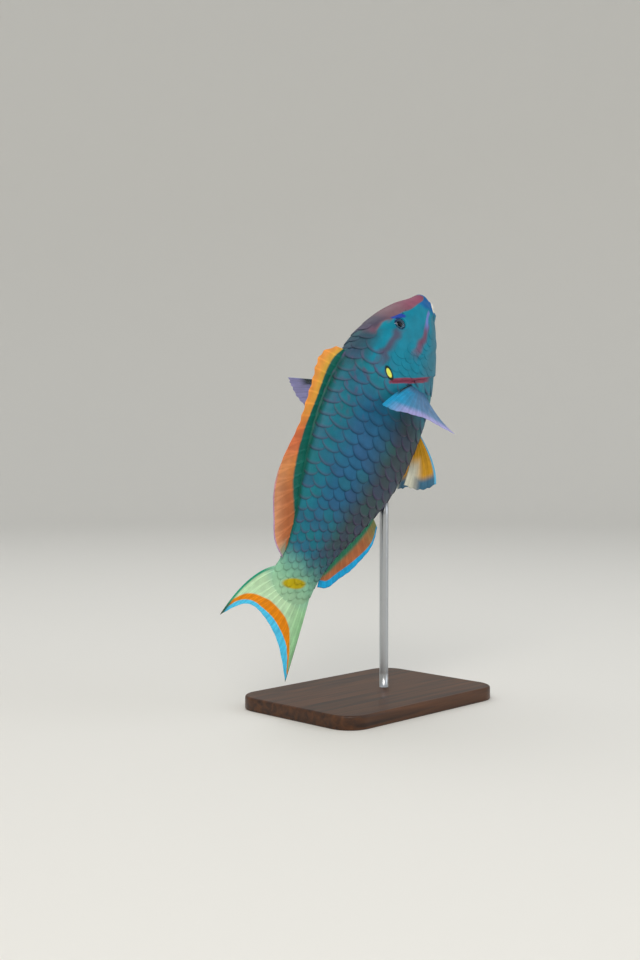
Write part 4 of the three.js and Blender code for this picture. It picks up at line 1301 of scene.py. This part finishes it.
def scale_finish():
    """Airbrushed resin scales: a dark rear edge on each, and fine rings of growth 0.9 mm apart.

    Scales differ a little in hue, some greener and some more violet, as on the living fish."""
    material = layered("airbrushed_cast_resin_scales", "1b6f83", BODY_COLOURS, 0.5, 0.06, (0.9, 0.1))
    tree = material.node_tree
    shader = shader_of(material)
    colour = shader.inputs["Base Color"].links[0].from_socket
    growth = add(tree, "ShaderNodeAttribute", attribute_name="growth").node.outputs["Fac"]
    tone = add(tree, "ShaderNodeAttribute", attribute_name="tone").node.outputs["Fac"]
    kind = add(tree, "ShaderNodeAttribute", attribute_name="kind").node.outputs["Fac"]
    pale = covering(tree, "mint")
    strong = add(tree, "ShaderNodeMath", {0: 1.0, 1: pale}, operation="SUBTRACT")
    even = add(tree, "ShaderNodeMapRange", {0: kind, 1: 0.0, 2: 1.0, 3: 1.0, 4: 0.15})
    strong = add(tree, "ShaderNodeMath", {0: strong, 1: even}, operation="MULTIPLY")
    for start, end, hue in ((0.35, 0.0, "16786c"), (0.65, 1.0, "3d4478")):
        share = add(tree, "ShaderNodeMapRange", {0: tone, 1: start, 2: end, 3: 0.0, 4: 0.26})
        share = add(tree, "ShaderNodeMath", {0: share, 1: strong}, operation="MULTIPLY")
        colour = add(tree, "ShaderNodeMix", {0: share, 6: colour, 7: linear(hue)}, data_type="RGBA")
    rim = add(
        tree, "ShaderNodeMapRange", {0: growth, 1: 0.76, 2: 0.97, 3: 0.0, 4: 0.4},
        interpolation_type="SMOOTHSTEP",
    )
    fade = add(tree, "ShaderNodeMath", {0: pale, 1: -0.9, 2: 1.0}, operation="MULTIPLY_ADD")
    rim = add(tree, "ShaderNodeMath", {0: rim, 1: fade}, operation="MULTIPLY")
    faint = add(tree, "ShaderNodeMapRange", {0: kind, 1: 0.0, 2: 1.0, 3: 1.0, 4: 0.12})
    rim = add(tree, "ShaderNodeMath", {0: rim, 1: faint}, operation="MULTIPLY")
    nape = covering(tree, "nape", 0.6)
    calm = add(tree, "ShaderNodeMath", {0: 1.0, 1: nape}, operation="SUBTRACT")
    rim = add(tree, "ShaderNodeMath", {0: rim, 1: calm}, operation="MULTIPLY")
    low = covering(tree, "flank")
    dark = add(tree, "ShaderNodeMix", {0: low, 6: linear("5e4468"), 7: linear("203456")}, data_type="RGBA")
    colour = add(tree, "ShaderNodeMix", {0: rim, 6: colour, 7: dark}, data_type="RGBA")
    tree.links.new(colour, shader.inputs["Base Color"])
    rings = add(tree, "ShaderNodeMath", {0: growth, 1: 18.6 / 0.9 * 2 * math.pi}, operation="MULTIPLY")
    rings = add(tree, "ShaderNodeMath", {0: rings}, operation="SINE")
    old = shader.inputs["Normal"].links[0].from_socket
    normal = add(
        tree, "ShaderNodeBump", {"Height": rings, "Strength": 0.12, "Distance": 0.12 * MM, "Normal": old}
    )
    tree.links.new(normal, shader.inputs["Normal"])
    return material


def plain(name, **values):
    """A material whose values are the same all over, before any pattern is added."""
    material = bpy.data.materials.new(name)
    material.use_nodes = True
    shader = material.node_tree.nodes["Principled BSDF"]
    for key, value in values.items():
        shader.inputs[key.replace("_", " ")].default_value = value
    return material


def eye_finish():
    """Painted iris under glass: grey blue, with a deeper blue arc above and a fine pale ring inside."""
    layers = [("limb", "1a6090"), ("arc", "27568f"), ("ring", "4a7486"), ("pupil", "04162e")]
    material = airbrushed("painted_glass_iris", "2c6288", layers, rough=0.5, coat=0.0, bump=(0.5, 0.1))
    shader_of(material).inputs["Specular IOR Level"].default_value = 0.08
    return material


def wood_finish():
    """Lacquered walnut: grain 3 mm wide that runs the length of the base, under a clear coat."""
    material = plain(
        "lacquered_walnut", Roughness=0.55, IOR=1.4, Coat_Weight=0.15, Coat_Roughness=0.15
    )
    tree = material.node_tree
    shader = tree.nodes["Principled BSDF"]
    where = add(tree, "ShaderNodeTexCoord").node.outputs["Object"]
    stretched = add(tree, "ShaderNodeMapping", {"Vector": where, "Scale": (0.06, 1.0, 1.0)})
    grain = add(
        tree,
        "ShaderNodeTexNoise",
        {"Vector": stretched, "Scale": 1 / (6 * MM), "Detail": 6, "Distortion": 0.6},
    )
    share = add(tree, "ShaderNodeMapRange", {0: grain, 1: 0.32, 2: 0.68})
    colour = add(
        tree, "ShaderNodeMix", {0: share, 6: linear("2c180d"), 7: linear("5a3519")}, data_type="RGBA"
    )
    tree.links.new(colour, shader.inputs["Base Color"])
    normal = add(tree, "ShaderNodeBump", {"Height": grain, "Strength": 0.05, "Distance": 0.1 * MM})
    tree.links.new(normal, shader.inputs["Normal"])
    return material


def steel_finish():
    """Brushed stainless steel: fine scratches round the rod that spread its highlight."""
    material = plain("brushed_stainless_steel", Base_Color=linear("b9bcc0"), Metallic=1.0, Roughness=0.3)
    tree = material.node_tree
    where = add(tree, "ShaderNodeTexCoord").node.outputs["Object"]
    squashed = add(tree, "ShaderNodeMapping", {"Vector": where, "Scale": (0.1, 0.1, 1.0)})
    scratch = add(tree, "ShaderNodeTexNoise", {"Vector": squashed, "Scale": 1 / (0.5 * MM), "Detail": 2})
    rough = add(tree, "ShaderNodeMapRange", {0: scratch, 3: 0.24, 4: 0.4})
    tree.links.new(rough, tree.nodes["Principled BSDF"].inputs["Roughness"])
    return material


skin_finish = airbrushed("airbrushed_cast_resin_skin", "028096", BODY_COLOURS, bump=(0.8, 0.16))
dorsal_finish = airbrushed(
    "tinted_resin_dorsal_fin", "f29c44",
    [("rear", "b5683c"), ("glow", "e8b042"), ("narrow", "d4683a"), ("streak", "cf9068"), ("root", "0f6458"),
     ("tip", "8fa890"), ("margin", "b08ab0")],
    ray=0.18,
)
anal_finish = airbrushed(
    "tinted_resin_anal_fin", "b0683e",
    [("front", "7c8650"), ("root", "2b7f60"), ("band", "12a2da"), ("margin", "2b7fb4")], ray=0.18,
)
caudal_finish = airbrushed(
    "tinted_resin_tail_fin", "c4e8bc",
    [("lower", "96cc96"), ("base", "9ad0b0"), ("band", "50cbf6"), ("crescent", "ee8c08"),
     ("upper_edge", "1a9a78"), ("dark", "2c4634")],
    ray=0.18,
)
# Painted light: on the pectoral fins the brighter front blue stands in for light through the fin, and the
# pale lilac spread over the left fin stands in for light from behind.
pectoral_finish = airbrushed(
    "clear_tinted_resin_pectoral_fin", "5c88b4",
    [("lead_and_painted_light", "1aa0d2"), ("root", "3a6c92"), ("margin", "aeaae2"), ("dusk", "12303c")], ray=0.2, alpha=0.74,
)
pelvic_finish = airbrushed(
    "tinted_resin_pelvic_fin", "cf961a",
    [("inner", "d6d4c0"), ("tip", "3c6c88"), ("lead_and_painted_light", "5fb4dc")], ray=0.16,
)
iris_finish = eye_finish()
# Clear glass: no colour of its own, only a bend and a sharp highlight.
cornea_finish = plain("clear_glass_cornea", Roughness=0.0, IOR=1.24, Transmission_Weight=1.0)
# Glazed porcelain: white with a faint warm cast, smooth and hard.
beak_finish = airbrushed(
    "glazed_porcelain_beak", "ece8da", [("stain", "8fb3a8")], rough=0.22, coat=0.6, bump=(0.7, 0.08)
)

make_skin(skin_finish)

rows_tree = scale_tree()
one_scale = scale_template()
bpy.context.scene.collection.objects.link(one_scale)
coat_finish = scale_finish()
every_root = body_scales()
left = [root for root in every_root if root[1] < 1]
right = [root for root in every_root if root[1] >= 1]
scale_piece("scales_left", left, rows_tree, one_scale, coat_finish)
scale_piece("scales_right", right, rows_tree, one_scale, coat_finish)
scale_piece("scales_head", head_scales(), rows_tree, one_scale, coat_finish)
bpy.data.objects.remove(one_scale)

rays_tree = fin_tree()
dorsal = median_fin(
    0.315, 0.89, DORSAL_EDGE, lambda s: section(s)[0], bend=0.7, swing=5, lean=rad(11), wave=0.5
)
anal = median_fin(0.66, 0.885, ANAL_EDGE, lambda s: section(s)[1], bend=0.55, wave=0.4)
fin(
    "dorsal_fin_rayed", "dorsal_fin", dorsal, 19, 14, 44, rays_tree, dorsal_finish, dorsal_marks,
    soft=lambda u: smooth(0.44, 0.5, u), scallop=lambda u: 0.05 * smooth(0.5, 0.4, u) + 0.008,
)
fin(
    "anal_fin_rayed", "anal_fin", anal, 12, 14, 36, rays_tree, anal_finish, anal_marks,
    soft=lambda u: smooth(0.12, 0.2, u),
)
fin(
    "tail_fin_rayed", "caudal_fin", caudal_surface, 13, 18, 70, rays_tree, caudal_finish, caudal_marks,
    scallop=0.006,
)
for word, side in (("left", 1), ("right", -1)):
    surface = paired_surface(side, PECTORAL[word], 2.0)
    fin(
        f"pectoral_fin_{word}_rayed", f"pectoral_fin_{word}", surface, 12, 15, 50, rays_tree, pectoral_finish,
        backlit_marks if side > 0 else pectoral_marks, scallop=0.01,
    )
    surface = paired_surface(side, PELVIC, 1.2)
    fin(
        f"pelvic_fin_{word}_rayed", f"pelvic_fin_{word}", surface, 6, 18, 40, rays_tree, pelvic_finish,
        pelvic_marks, scallop=0.02,
    )
    make_eye(word, side, iris_finish, cornea_finish)
make_beak("upper", 1, beak_finish)
make_beak("lower", -1, beak_finish)
make_base(wood_finish())
make_rod(steel_finish())


# Floor, light and camera.


def make_floor():
    """A pale floor that turns up into a low wall all round, far outside the view."""
    bend = np.linspace(0, math.pi / 2, 16)
    profile = [(0.0, 0.0)] + [(r, 0.0) for r in (0.4, 1.0, 1.8, 2.4)]
    profile += [(2.4 + 1.2 * math.sin(t), 1.2 - 1.2 * math.cos(t)) for t in bend[1:]] + [(3.6, 2.6)]
    radius, height = np.array(profile).T
    turn = np.arange(96) / 96 * 2 * math.pi
    points = np.stack(np.broadcast_arrays(
        radius[1:, None] * np.cos(turn), radius[1:, None] * np.sin(turn), height[1:, None]
    ), -1)
    faces = grid_faces(len(profile) - 1, 96, 1, wrap=True)
    faces = [face[::-1] for face in faces] + [(0, 1 + j, 1 + (j + 1) % 96) for j in range(96)]
    mesh = bpy.data.meshes.new("floor")
    mesh.from_pydata([(0, 0, 0), *points.reshape(-1, 3).tolist()], [], faces)
    mesh.polygons.foreach_set("use_smooth", [True] * len(mesh.polygons))
    floor = bpy.data.objects.new("floor", mesh)
    bpy.context.scene.collection.objects.link(floor)
    mesh.materials.append(plain("matt_painted_board", Base_Color=linear("e6e4df"), Roughness=0.85))


def aim(name, data, place_at, target):
    """Puts a light or the camera at a place, turned towards its target."""
    thing = bpy.data.objects.new(name, data)
    bpy.context.scene.collection.objects.link(thing)
    thing.location = place_at
    way = Vector(target) - Vector(place_at)
    thing.rotation_euler = way.to_track_quat("-Z", "Y").to_euler()
    return thing


def soft_light(name, place_at, size, power, colour):
    """A round area light, turned towards the fish."""
    data = bpy.data.lights.new(name, "AREA")
    data.shape, data.size, data.energy, data.color = "DISK", size, power, linear(colour)[:3]
    aim(name, data, place_at, (0, 0, 0.2))


make_floor()
soft_light("key_light", (-1.5, -1.2, 1.9), 1.6, 31, "fffaf2")
soft_light("fill_light", (1.1, -1.7, 0.9), 1.8, 9, "eef5ff")
soft_light("top_light", (0.2, 0.9, 2.1), 1.8, 9, "ffffff")

world = bpy.data.worlds.new("studio")
world.use_nodes = True
world.node_tree.nodes["Background"].inputs["Color"].default_value = linear("e8ecef")
world.node_tree.nodes["Background"].inputs["Strength"].default_value = 0.62
bpy.context.scene.world = world
bpy.context.scene.view_settings.view_transform = "Standard"

# The camera looks down a little from the fish's right and from behind its snout. The middle of
# the fish stands to the right of the view's middle and above it.
azimuth, tilt = rad(-45.5), rad(2)
to_right, distance, over = 37.8, 1154.7, 34.3
right_way = np.array([math.cos(azimuth), math.sin(azimuth), 0])
look = np.array([-math.sin(azimuth) * math.cos(tilt), math.cos(azimuth) * math.cos(tilt), -math.sin(tilt)])
above = np.cross(right_way, look)
stands = np.array([0, 0, AXIS_UP]) - right_way * to_right - look * distance - above * over
camera = bpy.data.cameras.new("camera")
camera.lens, camera.sensor_width, camera.clip_end = 48.75, 36, 30
bpy.context.scene.camera = aim("camera", camera, stands * MM, (stands + look * 1000) * MM)
